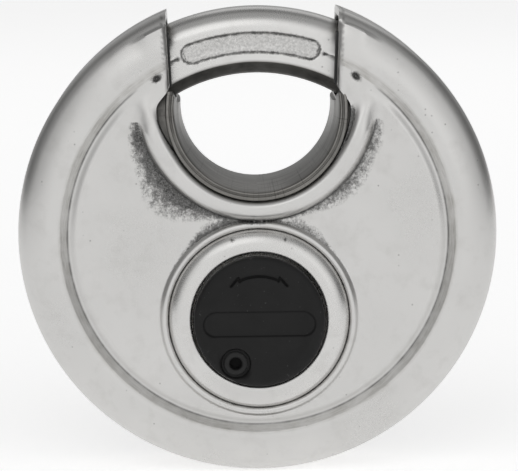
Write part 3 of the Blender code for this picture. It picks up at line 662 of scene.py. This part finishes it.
def bow(material):
    """The bow with its sunk blank badge, lapped and bored at the heel for the drive rack."""
    section = bow_section()
    steps = 300
    radii = np.array([r for r, _ in section])
    depths = np.array([d for _, d in section])
    rows = []
    for bearing in np.linspace(BOW_TIP, BOW_HEEL, steps):
        a = math.radians(90.0 - bearing)
        inside = badge_distance(radii, bearing)
        sink = 0.42 * (1.0 - smooth(-0.45, 0.05, inside))
        rim = 0.16 * bell(inside + 0.75, 0.2)
        groove = 0.3 * bow_groove(radii, bearing)
        front = depths > BOW_HALF_DEPTH - 0.01
        shaped = depths - np.where(front, sink - rim + groove, 0.0)
        rows.append(np.stack([radii * math.cos(a), radii * math.sin(a), shaped], axis=-1))
    count = len(section)
    vertices = np.concatenate(rows)
    faces = grid_faces(steps, count)
    faces.append(tuple(range(count)))
    faces.append(tuple(range((steps - 1) * count, steps * count)))
    obj = new_object("bow", vertices, faces)
    face_outwards(obj)
    low = -BOW_HALF_DEPTH - 2
    cut(obj, prism("lap_tool", [(20, -14), (45, -14), (45, 6.0), (20, 6.0)], low, -1.3))
    for number in (1, 2):
        x0, x1 = extent(f"rack_rivet_{number}", 0)
        y0, y1 = extent(f"rack_rivet_{number}", 2)
        hole = circle_outline(((x0 + x1) / 2, (y0 + y1) / 2), (x1 - x0) / 2 + 0.25, 32)
        cut(obj, prism("rivet_tool", hole, low, 3.4))

    front_face = 4.6

    def badge(x, y, depth):
        bearing = np.degrees(np.arctan2(x, y))
        return (1.0 - smooth(-0.5, 0.0, badge_distance(np.hypot(x, y), bearing))) * (depth > front_face)

    # Painted shade just inside the badge's sunk edge and along the mould line's groove.
    def grime_and_shade(x, y, depth):
        bearing = np.degrees(np.arctan2(x, y))
        radius = np.hypot(x, y)
        edge = bell(badge_distance(radius, bearing) + 0.25, 0.22)
        return np.clip(0.75 * edge + bow_groove(radius, bearing), 0.0, 1.0) * (depth > front_face)

    # Painted shade on the bow's inner face, and a dark line along the chamfer's edge.
    def inner_face_shade(x, y, depth):
        radius = np.hypot(x, y)
        line = bell(radius - BOW_INNER - 2.05, 0.16) * (np.abs(depth) > 5.0)
        return np.clip(1.0 - smooth(BOW_INNER + 1.75, BOW_INNER + 2.1, radius) + line, 0.0, 1.0)

    paint(obj, "inner_face_shade", inner_face_shade)
    paint(obj, "badge", badge)
    paint(obj, "grime_and_shade", grime_and_shade)
    finish_piece(obj, "shackle", material, ["shackle"], sharp=40.0)


# ---------------------------------------------------------------- collar, cover and rivet

def collar(material):
    """Domed collar: groove, dome and the floor under the cover."""
    top = -extent("face_plate", 1)[0]
    low = -extent("face_plate", 1)[1]
    floor = 12.2
    flange = 8.7
    crest = 11.75
    turn = math.pi / 2 * 0.93
    rings = [(r, floor) for r in (6.2, 8.0, 10.0, 10.5)]
    rings += [(10.75, floor + 0.15), (10.95, floor + 0.4)]
    for step in range(9):
        a = math.radians(160.0 - 70.0 * step / 8)
        rings.append((crest + 0.75 * math.cos(a), top - 0.55 + 0.55 * math.sin(a)))
    for step in range(1, 19):
        a = turn * step / 18
        radius = crest + (COLLAR_RADIUS - crest) * math.sin(a) / math.sin(turn)
        rings.append((radius, top - 2.5 * (1.0 - math.cos(a))))
    rings += [(COLLAR_RADIUS, 10.0), (COLLAR_RADIUS, flange), (16.2, flange), (16.2, low)]
    rings += [(13.2, low), (13.2, 10.4), (12.4, 11.0), (6.2, 11.0)]
    obj = polar_body("collar", rings, 256, LOCK)
    cut(obj, prism("collar_rivet_tool", circle_outline(RIVET, 1.4, 40), 9.0, 14.0))

    # Two dark marks near the top, and painted shade in the groove between the collar and the shell's lip.
    def grime_and_shade(x, y, depth):
        marks = 0.0
        for bearing in (-18.0, 18.0):
            a = math.radians(90.0 - bearing)
            centre = (LOCK[0] + 14.1 * math.cos(a), LOCK[1] + 14.1 * math.sin(a))
            marks = marks + bell(np.hypot(x - centre[0], y - centre[1]), 0.28)
        groove = smooth(COLLAR_RADIUS - 0.18, COLLAR_RADIUS - 0.02, lock_reach(x, y))
        return np.clip(marks + 0.35 * groove, 0.0, 1.0)

    paint(obj, "grime_and_shade", grime_and_shade)
    finish_piece(obj, "case", material, ["face_plate"], sharp=45.0)


def segment_distance(x, y, start, end):
    """Distance to a straight line between two points."""
    direction = np.subtract(end, start)
    t = ((x - start[0]) * direction[0] + (y - start[1]) * direction[1]) / np.dot(direction, direction)
    t = np.clip(t, 0.0, 1.0)
    return np.hypot(x - start[0] - t * direction[0], y - start[1] - t * direction[1])


def arrow_distance(x, y):
    """Distance to the double-headed turning arrow, from the cover's centre."""
    radius = 7.6
    reach = np.hypot(x, y)
    bearing = np.degrees(np.arctan2(x, y))
    over = np.radians(np.maximum(np.abs(bearing) - 24.0, 0.0)) * radius
    nearest = np.hypot(reach - radius, over)
    for side in (-1.0, 1.0):
        tip = (side * 3.42, 7.4)
        for barb in ((side * 4.62, 5.98), (side * 3.2, 6.75)):
            nearest = np.minimum(nearest, segment_distance(x, y, tip, barb))
    return nearest


def pill_distance(x, y):
    """Signed distance to the blank label's outline, from the cover's centre."""
    half_width = 2.05
    half_length = 9.25
    dx = np.maximum(np.abs(x) - (half_length - half_width), 0.0)
    return np.hypot(dx, y + 0.4) - half_width


def cover_height(disc_x, disc_y):
    """Dished face of the cover with its raised rim, arrow, label and rivet seat."""
    x = disc_x - LOCK[0]
    y = disc_y - LOCK[1]
    reach = np.hypot(x, y)
    rim_width = 1.35
    dish_depth = 0.62
    crest = COVER_RADIUS - rim_width
    rim = 0.55 * np.clip((reach - crest) / rim_width, 0, 1) ** 2.2
    dish = dish_depth * (1.0 - smooth(crest - 2.3, crest, reach))
    height = COVER_TOP - rim - dish
    seat = np.hypot(disc_x - RIVET[0], disc_y - RIVET[1])
    flat = COVER_TOP - dish_depth
    height = height + (flat - height) * (1.0 - smooth(2.3, 3.3, seat))
    height = height - 0.28 * (1.0 - smooth(-0.16, 0.1, pill_distance(x, y)))
    height = height - 0.3 * (1.0 - smooth(0.1, 0.26, arrow_distance(x, y)))
    return height - 0.4 * bell(seat - 2.33, 0.14)


def cover(material):
    """Round swinging cover, bored for its rivet and sunk round the rivet's head."""
    side_top = COVER_TOP - 0.85
    step = 0.12
    radii = [*np.arange(step, COVER_RADIUS - step, step), COVER_RADIUS - step]
    rings = [(0.0, cover_height)] + [(r, cover_height) for r in radii]
    rings += [(COVER_RADIUS - 0.03, side_top + 0.12), (COVER_RADIUS, side_top - 0.1)]
    rings += [(COVER_RADIUS, COVER_UNDER + 0.2), (COVER_RADIUS - 0.2, COVER_UNDER), (0.0, COVER_UNDER)]
    obj = polar_body("cover", rings, 480, LOCK)
    cut(obj, prism("cover_bore_tool", circle_outline(RIVET, 1.4, 48), 12.0, 17.0))
    cut(obj, prism("cover_sink_tool", circle_outline(RIVET, 2.28, 72), COVER_TOP - 1.0, 17.0))

    # Painted shade in the sunk arrow and along the label's edge.
    def grime_and_shade(x, y, depth):
        groove = 1.0 - smooth(0.1, 0.3, arrow_distance(x - LOCK[0], y - LOCK[1]))
        edge = bell(pill_distance(x - LOCK[0], y - LOCK[1]), 0.16)
        return np.clip(np.maximum(groove, 0.7 * edge), 0.0, 1.0)

    paint(obj, "grime_and_shade", grime_and_shade)
    finish_piece(obj, "cover", material, ["keyway_cover"], sharp=45.0)


def pivot_rivet(material):
    """Tubular rivet: rounded head with a deep bore, painted dark as shade."""
    head = COVER_TOP - 0.55
    low = -extent("cover_rivet", 1)[1]
    rings = [(0.0, head - 1.3), (0.95, head - 1.3), (0.98, head - 0.35), (1.1, head - 0.08)]
    rings += [(1.35, head + 0.05), (1.7, head + 0.02), (1.95, head - 0.15), (2.05, head - 0.35)]
    rings += [(1.95, COVER_TOP - 0.9), (1.1, COVER_TOP - 0.9)]
    rings += [(1.1, low + 0.6), (1.8, low + 0.6), (1.8, low), (0.0, low)]
    obj = polar_body("pivot_rivet", rings, 96, RIVET)

    # Painted shade filling the bore.
    def grime_and_shade(x, y, depth):
        return 1.0 - smooth(0.95, 1.05, np.hypot(x - RIVET[0], y - RIVET[1]))

    paint(obj, "grime_and_shade", grime_and_shade)
    finish_piece(obj, "case", material, ["cover_rivet"], sharp=45.0)


# ---------------------------------------------------------------- materials

class Nodes:
    """Short hand for building one material's node tree."""

    def __init__(self, name):
        self.material = bpy.data.materials.new(name)
        self.material.use_nodes = True
        self.tree = self.material.node_tree
        self.shader = self.tree.nodes["Principled BSDF"]
        self.place = self.add("ShaderNodeTexCoord").outputs["Object"]

    def add(self, kind, **settings):
        """New node with its settings."""
        node = self.tree.nodes.new(kind)
        for key, value in settings.items():
            setattr(node, key, value)
        return node

    def feed(self, socket, value):
        """Link a socket to another one, or set its value."""
        if isinstance(value, bpy.types.NodeSocket):
            self.tree.links.new(value, socket)
        else:
            socket.default_value = value

    def math(self, operation, a, b=0.0, clamp=False):
        """Result of one maths node."""
        node = self.add("ShaderNodeMath", operation=operation, use_clamp=clamp)
        self.feed(node.inputs[0], a)
        self.feed(node.inputs[1], b)
        return node.outputs[0]

    def noise(self, scale, detail=2.0, roughness=0.5, vector=None):
        """Fractal noise between 0 and 1."""
        node = self.add("ShaderNodeTexNoise")
        self.feed(node.inputs["Vector"], vector or self.place)
        node.inputs["Scale"].default_value = scale
        node.inputs["Detail"].default_value = detail
        node.inputs["Roughness"].default_value = roughness
        return node.outputs["Fac"]

    def remap(self, value, low, high, to_low=0.0, to_high=1.0):
        """Map one range to another, clamped at its ends."""
        node = self.add("ShaderNodeMapRange")
        self.feed(node.inputs["Value"], value)
        for key, number in (("From Min", low), ("From Max", high), ("To Min", to_low), ("To Max", to_high)):
            node.inputs[key].default_value = number
        return node.outputs["Result"]

    def attribute(self, name):
        """Value painted on the mesh, 0 where there is none."""
        return self.add("ShaderNodeAttribute", attribute_name=name).outputs["Fac"]

    def blend(self, factor, a, b):
        """Colour a where the factor is 0 and b where it is 1."""
        node = self.add("ShaderNodeMix", data_type="RGBA")
        self.feed(node.inputs["Factor"], factor)
        self.feed(node.inputs[6], a)
        self.feed(node.inputs[7], b)
        return node.outputs[2]

    def bump(self, height, distance, strength=1.0, normal=None):
        """Normal tilted by a height, on top of an earlier normal."""
        node = self.add("ShaderNodeBump")
        node.inputs["Strength"].default_value = strength
        node.inputs["Distance"].default_value = distance
        self.feed(node.inputs["Height"], height)
        if normal is not None:
            self.feed(node.inputs["Normal"], normal)
        return node.outputs["Normal"]

    def scaled(self, value, factor):
        """Product of two values."""
        return self.math("MULTIPLY", value, factor)

    def total(self, a, b):
        """Sum of two values."""
        return self.math("ADD", a, b)

    def finish(self, colour, rough, normal, metallic=1.0):
        """Feed the shader and hand over the material."""
        self.feed(self.shader.inputs["Base Color"], colour)
        self.feed(self.shader.inputs["Roughness"], rough)
        self.feed(self.shader.inputs["Normal"], normal)
        self.shader.inputs["Metallic"].default_value = metallic
        return self.material

    def specks(self, scale, share, size):
        """Small round spots in a random few of the cells of a Voronoi pattern."""
        cells = self.add("ShaderNodeTexVoronoi")
        self.feed(cells.inputs["Vector"], self.place)
        cells.inputs["Scale"].default_value = scale
        seed = self.add("ShaderNodeSeparateXYZ")
        self.feed(seed.inputs[0], cells.outputs["Color"])
        spot = self.remap(cells.outputs["Distance"], size * 0.5, size * 1.5, 1.0, 0.0)
        return self.math("MULTIPLY", spot, self.remap(seed.outputs[0], share, share + 0.03), clamp=True)

    def polar(self, centre, across, around):
        """Coordinates that run round an axis along Y, for turned and brushed marks."""
        shift = self.add("ShaderNodeVectorMath", operation="SUBTRACT")
        self.feed(shift.inputs[0], self.place)
        shift.inputs[1].default_value = centre
        parts = self.add("ShaderNodeSeparateXYZ")
        self.feed(parts.inputs[0], shift.outputs[0])
        x, y, z = parts.outputs
        radius = self.math("SQRT", self.total(self.scaled(x, x), self.scaled(z, z)))
        angle = self.math("ARCTAN2", x, z)
        join = self.add("ShaderNodeCombineXYZ")
        self.feed(join.inputs[0], self.scaled(radius, across))
        self.feed(join.inputs[1], self.scaled(angle, around))
        self.feed(join.inputs[2], self.scaled(y, across))
        return join.outputs[0]


def grey(value, warmth=0.02):
    """Grey that leans a little to yellow."""
    return (value * (1.0 + warmth / 2), value, value * (1.0 - warmth), 1.0)


def brushed_bevel(n, tone, cloud, colour, rough):
    """Stained turning marks on the step's bevel, and painted shade in the creases."""
    marks = n.noise(1.0, 3.0, 0.6, n.polar(tuple(DISC), 6000.0, 14.0))
    mask = n.attribute("brush")
    stain = n.scaled(n.remap(marks, 0.3, 0.7, 0.15, 0.8), n.remap(cloud, 0.3, 0.65, 0.35, 1.0))
    colour = n.blend(n.scaled(mask, stain), colour, grey(tone * 0.5, 0.08))
    # Painted shade: the crease lines darkened to near black.
    crease = n.scaled(n.attribute("crease"), n.remap(cloud, 0.25, 0.6, 0.5, 0.95))
    return n.blend(crease, colour, grey(0.035, 0.05)), n.total(rough, n.scaled(mask, 0.12))


def stippled_badge(n, tone, cloud, colour, rough, normal):
    """Cast floor of the badge, and painted shade on the bow's inner face."""
    mask = n.attribute("badge")
    stipple = n.noise(2600.0, 3.0, 0.7)
    dots = n.scaled(mask, n.remap(stipple, 0.35, 0.65, 0.1, 0.75))
    colour = n.blend(dots, colour, grey(tone * 0.55))
    normal = n.bump(n.scaled(stipple, mask), 0.00008, 0.8, normal)
    # Painted shade on the inner face, patchy with the cloud noise.
    inner_face_shade = n.attribute("inner_face_shade")
    scale = n.blend(n.remap(cloud, 0.3, 0.7), grey(0.1, 0.06), grey(0.26, 0.06))
    colour = n.blend(n.scaled(inner_face_shade, 0.85), colour, scale)
    return colour, n.total(rough, n.scaled(inner_face_shade, 0.15)), normal


def darken_grime_and_shade(n, tone, colour, rough, normal):
    """Dark crumbly soil and painted shade, where the mask is painted on the surface."""
    mask = n.attribute("grime_and_shade")
    fine = n.noise(4200.0, 3.0, 0.7)
    coarse = n.noise(1100.0, 4.0, 0.7)
    breakup = n.total(n.remap(fine, 0.3, 0.7, -0.28, 0.25), n.remap(coarse, 0.3, 0.7, -0.32, 0.25))
    grime_and_shade_amount = n.remap(n.total(mask, n.scaled(breakup, n.remap(mask, 0.0, 0.25))), 0.06, 0.62)
    # One dark tone for both the soil and the painted shade in creases, gaps and bores.
    grime_and_shade_tone = n.blend(n.remap(fine, 0.36, 0.62), grey(0.02), grey(tone * 0.3))
    colour = n.blend(n.scaled(grime_and_shade_amount, 0.96), colour, grime_and_shade_tone)
    crumbs = n.scaled(n.specks(2600.0, 0.72, 0.2), n.remap(mask, 0.02, 0.2))
    colour = n.blend(n.scaled(crumbs, 0.75), colour, grey(0.04))
    rough = n.total(rough, n.scaled(grime_and_shade_amount, 0.2))
    return colour, rough, n.bump(n.scaled(fine, grime_and_shade_amount), 0.00008, 0.8, normal)


def steel(name, tone, roughness, brush=False, badge=False):
    """Polished stainless steel with fine haze, pits, soil the wheel missed, and painted shade in creases
    and gaps.
    """
    n = Nodes(name)
    haze = n.noise(70.0, 3.0)
    cloud = n.noise(320.0, 4.0, 0.6)
    grain = n.noise(5200.0, 2.0, 0.7)
    colour = n.blend(n.remap(haze, 0.3, 0.7), grey(tone * 0.96), grey(tone * 1.04))
    colour = n.blend(n.remap(cloud, 0.52, 0.78, 0.0, 0.3), colour, grey(tone * 0.72, 0.04))
    broad = n.remap(haze, 0.3, 0.7, roughness - 0.04, roughness + 0.05)
    rough = n.total(broad, n.remap(grain, 0.3, 0.7, -0.02, 0.03))
    normal = n.bump(haze, 0.00015, 0.3)
    normal = n.bump(cloud, 0.00003, 0.3, normal)
    normal = n.bump(grain, 0.000002, 0.2, normal)
    pits = n.specks(900.0, 0.93, 0.12)
    colour = n.blend(n.scaled(pits, 0.55), colour, grey(tone * 0.25))
    normal = n.bump(n.scaled(pits, -1.0), 0.00004, 0.6, normal)
    if brush:
        colour, rough = brushed_bevel(n, tone, cloud, colour, rough)
    if badge:
        colour, rough, normal = stippled_badge(n, tone, cloud, colour, rough, normal)
    return n.finish(*darken_grime_and_shade(n, tone, colour, rough, normal))


def turned_metal(name, tone, roughness, centre, warmth=0.02, lining=False):
    """Metal with fine lathe rings round an axis."""
    n = Nodes(name)
    rings = n.noise(1.0, 4.0, 0.6, n.polar(centre, 4200.0, 3.0))
    broad = n.noise(1.0, 2.0, 0.5, n.polar(centre, 900.0, 1.5))
    mix = n.total(n.scaled(rings, 0.6), n.scaled(broad, 0.4))
    colour = n.blend(n.remap(mix, 0.35, 0.65), grey(tone * 0.72, warmth), grey(tone * 1.08, warmth))
    rough = n.remap(mix, 0.3, 0.7, roughness + 0.08, roughness - 0.05)
    if lining:
        scratches = n.noise(1.0, 2.0, 0.5, n.polar(centre, 60.0, 60.0))
        colour = n.blend(n.remap(scratches, 0.6, 0.72, 0.0, 0.6), colour, grey(tone * 0.3, warmth))
        # Painted shade on the lining's groove and flange, nearly black.
        colour = n.blend(n.scaled(n.attribute("grime_and_shade"), 0.85), colour, grey(0.03))
    return n.finish(colour, rough, n.bump(mix, 0.00004, 0.5))


def brass(name, centre):
    """Turned brass with a patchy tarnish."""
    n = Nodes(name)
    rings = n.noise(1.0, 3.0, 0.6, n.polar(centre, 3600.0, 3.0))
    tarnish = n.noise(160.0, 4.0, 0.6)
    colour = n.blend(n.remap(tarnish, 0.4, 0.7), (0.72, 0.53, 0.25, 1.0), (0.52, 0.35, 0.15, 1.0))
    return n.finish(colour, n.remap(tarnish, 0.3, 0.7, 0.26, 0.42), n.bump(rings, 0.00003, 0.4))


def cast_metal(name):
    """Plain lumpy casting."""
    n = Nodes(name)
    lumps = n.noise(700.0, 4.0, 0.6)
    colour = n.blend(n.remap(lumps, 0.3, 0.7), (0.30, 0.31, 0.32, 1.0), (0.46, 0.46, 0.47, 1.0))
    return n.finish(colour, n.remap(lumps, 0.3, 0.7, 0.5, 0.68), n.bump(lumps, 0.00012, 0.5), 0.9)


def black_plastic(name, tone):
    """Moulded black plastic with a fine eroded grain, a few light scuffs, and painted shade where the mask
    is painted.
    """
    n = Nodes(name)
    grain = n.noise(3400.0, 2.0, 0.6)
    cloud = n.noise(220.0, 3.0, 0.6)
    colour = n.blend(n.remap(cloud, 0.3, 0.7), grey(tone * 0.8, 0.0), grey(tone * 1.35, 0.0))
    flecks = n.noise(1900.0, 1.0, 0.5)
    colour = n.blend(n.remap(flecks, 0.74, 0.80, 0.0, 0.5), colour, grey(0.09, 0.0))
    # Painted shade in the cover's grooves and the rivet's bore, nearly black.
    mask = n.attribute("grime_and_shade")
    colour = n.blend(mask, colour, grey(0.003, 0.0))
    rough = n.total(n.remap(cloud, 0.3, 0.7, 0.40, 0.52), n.scaled(mask, 0.3))
    n.shader.inputs["Specular IOR Level"].default_value = 0.2
    return n.finish(colour, rough, n.bump(grain, 0.00002, 0.45), 0.0)


def rubber(name):
    """Matt black rubber."""
    n = Nodes(name)
    grain = n.noise(2400.0, 3.0, 0.6)
    colour = n.blend(n.remap(grain, 0.3, 0.7), grey(0.008, 0.0), grey(0.02, 0.0))
    return n.finish(colour, n.remap(grain, 0.3, 0.7, 0.7, 0.85), n.bump(grain, 0.00004, 0.5), 0.0)


# ---------------------------------------------------------------- studio

def pale_floor():
    """Pale floor just under the padlock, with a faint glow of its own."""
    shape = bmesh.new()
    bmesh.ops.create_circle(shape, cap_ends=True, segments=96, radius=6.0)
    mesh = bpy.data.meshes.new("floor")
    shape.to_mesh(mesh)
    shape.free()
    floor = bpy.data.objects.new("floor", mesh)
    floor.location = (0.0, 0.0, float(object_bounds()[0][2]) - 0.0002)
    bpy.context.scene.collection.objects.link(floor)
    n = Nodes("floor_white")
    colour = n.blend(n.noise(3.0), (0.93, 0.93, 0.93, 1.0), (0.95, 0.95, 0.95, 1.0))
    n.feed(n.shader.inputs["Base Color"], colour)
    n.shader.inputs["Roughness"].default_value = 0.9
    n.shader.inputs["Specular IOR Level"].default_value = 0.1
    n.shader.inputs["Emission Color"].default_value = (1.0, 1.0, 1.0, 1.0)
    n.shader.inputs["Emission Strength"].default_value = 0.5
    mesh.materials.append(n.material)


def soft_surround():
    """White surround: bright in front, dimmer behind, dark at the sides, a little brighter above."""
    world = bpy.data.worlds.new("studio")
    world.use_nodes = True
    bpy.context.scene.world = world
    tree = world.node_tree

    def math_node(operation, a, b=0.0):
        node = tree.nodes.new("ShaderNodeMath")
        node.operation = operation
        for socket, value in zip(node.inputs, (a, b)):
            if isinstance(value, bpy.types.NodeSocket):
                tree.links.new(value, socket)
            else:
                socket.default_value = value
        return node.outputs[0]

    place = tree.nodes.new("ShaderNodeTexCoord")
    parts = tree.nodes.new("ShaderNodeSeparateXYZ")
    tree.links.new(place.outputs["Generated"], parts.inputs[0])
    x, y, z = parts.outputs
    ramp = tree.nodes.new("ShaderNodeValToRGB")
    ramp.color_ramp.interpolation = "EASE"
    stops = ramp.color_ramp.elements
    for stop, position, light in zip(stops, (0.2, 0.88), (SIDE_LIGHT, 1.0)):
        stop.position = position
        stop.color = (light, light, light, 1.0)
    tree.links.new(math_node("ABSOLUTE", y), ramp.inputs[0])
    edge = math_node("SUBTRACT", 1.0, math_node("ABSOLUTE", y))
    tilt = math_node("ADD", math_node("MULTIPLY", z, 0.34), math_node("MULTIPLY", x, -0.02))
    glow = math_node("ADD", ramp.outputs[0], math_node("MULTIPLY", tilt, edge))
    behind = math_node("MINIMUM", math_node("MULTIPLY", math_node("MAXIMUM", y, 0.0), 1.6), 0.62)
    glow = math_node("MULTIPLY", glow, math_node("SUBTRACT", 1.0, behind))
    background = tree.nodes["Background"]
    tree.links.new(glow, background.inputs["Color"])
    background.inputs["Strength"].default_value = 0.98


def area_light(name, location, size, power):
    """Rectangular light that points at the disc."""
    light = bpy.data.lights.new(name, "AREA")
    light.shape = "RECTANGLE"
    light.size, light.size_y = size
    light.energy = power
    obj = bpy.data.objects.new(name, light)
    obj.location = location
    aim(obj, tuple(DISC))
    bpy.context.scene.collection.objects.link(obj)


def aim(obj, target):
    """Turn a light or a camera towards a point."""
    direction = Vector(target) - Vector(obj.location)
    obj.rotation_euler = direction.to_track_quat("-Z", "Y").to_euler()


def camera():
    """Long lens, a little above and to the left of the disc's axis."""
    elevation = math.radians(CAMERA_ELEVATION)
    azimuth = math.radians(CAMERA_AZIMUTH)
    target = DISC + CAMERA_TARGET * MM
    offset = np.array([
        math.sin(azimuth) * math.cos(elevation),
        -math.cos(azimuth) * math.cos(elevation),
        math.sin(elevation),
    ])
    data = bpy.data.cameras.new("camera")
    data.sensor_width = 36.0
    data.lens = LENS
    data.clip_start = 0.01
    data.clip_end = 30.0
    obj = bpy.data.objects.new("camera", data)
    obj.location = tuple(target + offset * CAMERA_DISTANCE)
    aim(obj, tuple(target))
    obj.rotation_euler.rotate_axis("Z", math.radians(CAMERA_ROLL))
    bpy.context.scene.collection.objects.link(obj)
    bpy.context.scene.camera = obj
    bpy.context.scene.view_settings.view_transform = "Standard"


# ---------------------------------------------------------------- assembly

def dress(names, material):
    """Give carried-over CAD nodes their material."""
    for name in names:
        obj = frame["nodes"][name]
        obj.data.materials.clear()
        obj.data.materials.append(material)


def build():
    """Every fine piece, and a material for each CAD node that is carried over."""
    lock_axis = (DISC[0] + LOCK[0] * MM, DISC[1], DISC[2] + LOCK[1] * MM)
    tunnel_axis = (DISC[0] + TUNNEL[0] * MM, DISC[1], DISC[2] + TUNNEL[1] * MM)
    case_steel = steel("case_steel", 0.6, 0.3, brush=True)
    case_shell("front_case", "front_shell", front_height, case_steel, rear=False)
    case_shell("rear_case", "rear_shell", rear_height, case_steel, rear=True)
    tunnel_lining(turned_metal("liner_steel", 0.22, 0.34, tunnel_axis, 0.06, lining=True))
    bow(steel("shackle_steel", 0.66, 0.28, badge=True))
    collar(steel("collar_steel", 0.62, 0.26))
    cover(black_plastic("cover_plastic", 0.007))
    pivot_rivet(black_plastic("rivet_black", 0.014))
    # Black seal cheeks, which also stand in for the shade in the slot's gaps.
    seal_black = rubber("seal_rubber")
    for name, side in (("left_shackle_seal", -1), ("right_shackle_seal", 1)):
        seal_and_gap_shade(name, side, seal_black)

    nodes = sorted(frame["nodes"])
    hard_steel = turned_metal("hard_steel", 0.42, 0.38, lock_axis)
    stack = [name for name in nodes if name.startswith("detainer_disc")]
    dress(["cylinder_housing", "rotor", *stack], brass("lock_brass", lock_axis))
    dress(["core_front", "core_rear"], cast_metal("core_metal"))
    guide_rings = ["front_guide_ring", "rear_guide_ring"]
    dress(guide_rings, turned_metal("guide_steel", 0.5, 0.35, tuple(DISC)))
    dress([name for name in nodes if name.startswith(("core_rivet", "rack_rivet", "spacer_"))], hard_steel)
    drive = ["drive_rack", "drive_pinion", "pinion_clip", "sidebar"]
    dress([*drive, "cover_washer", "anti_drill_disc"], hard_steel)


build()
pale_floor()
soft_surround()
camera()
area_light("key", (-0.35, -0.75, 0.75), (0.9, 0.6), 0.7)
area_light("fill", (0.6, -0.6, 0.35), (0.7, 0.7), 0.3)
area_light("back", (0.2, 0.8, 0.7), (0.9, 0.6), 0.6)
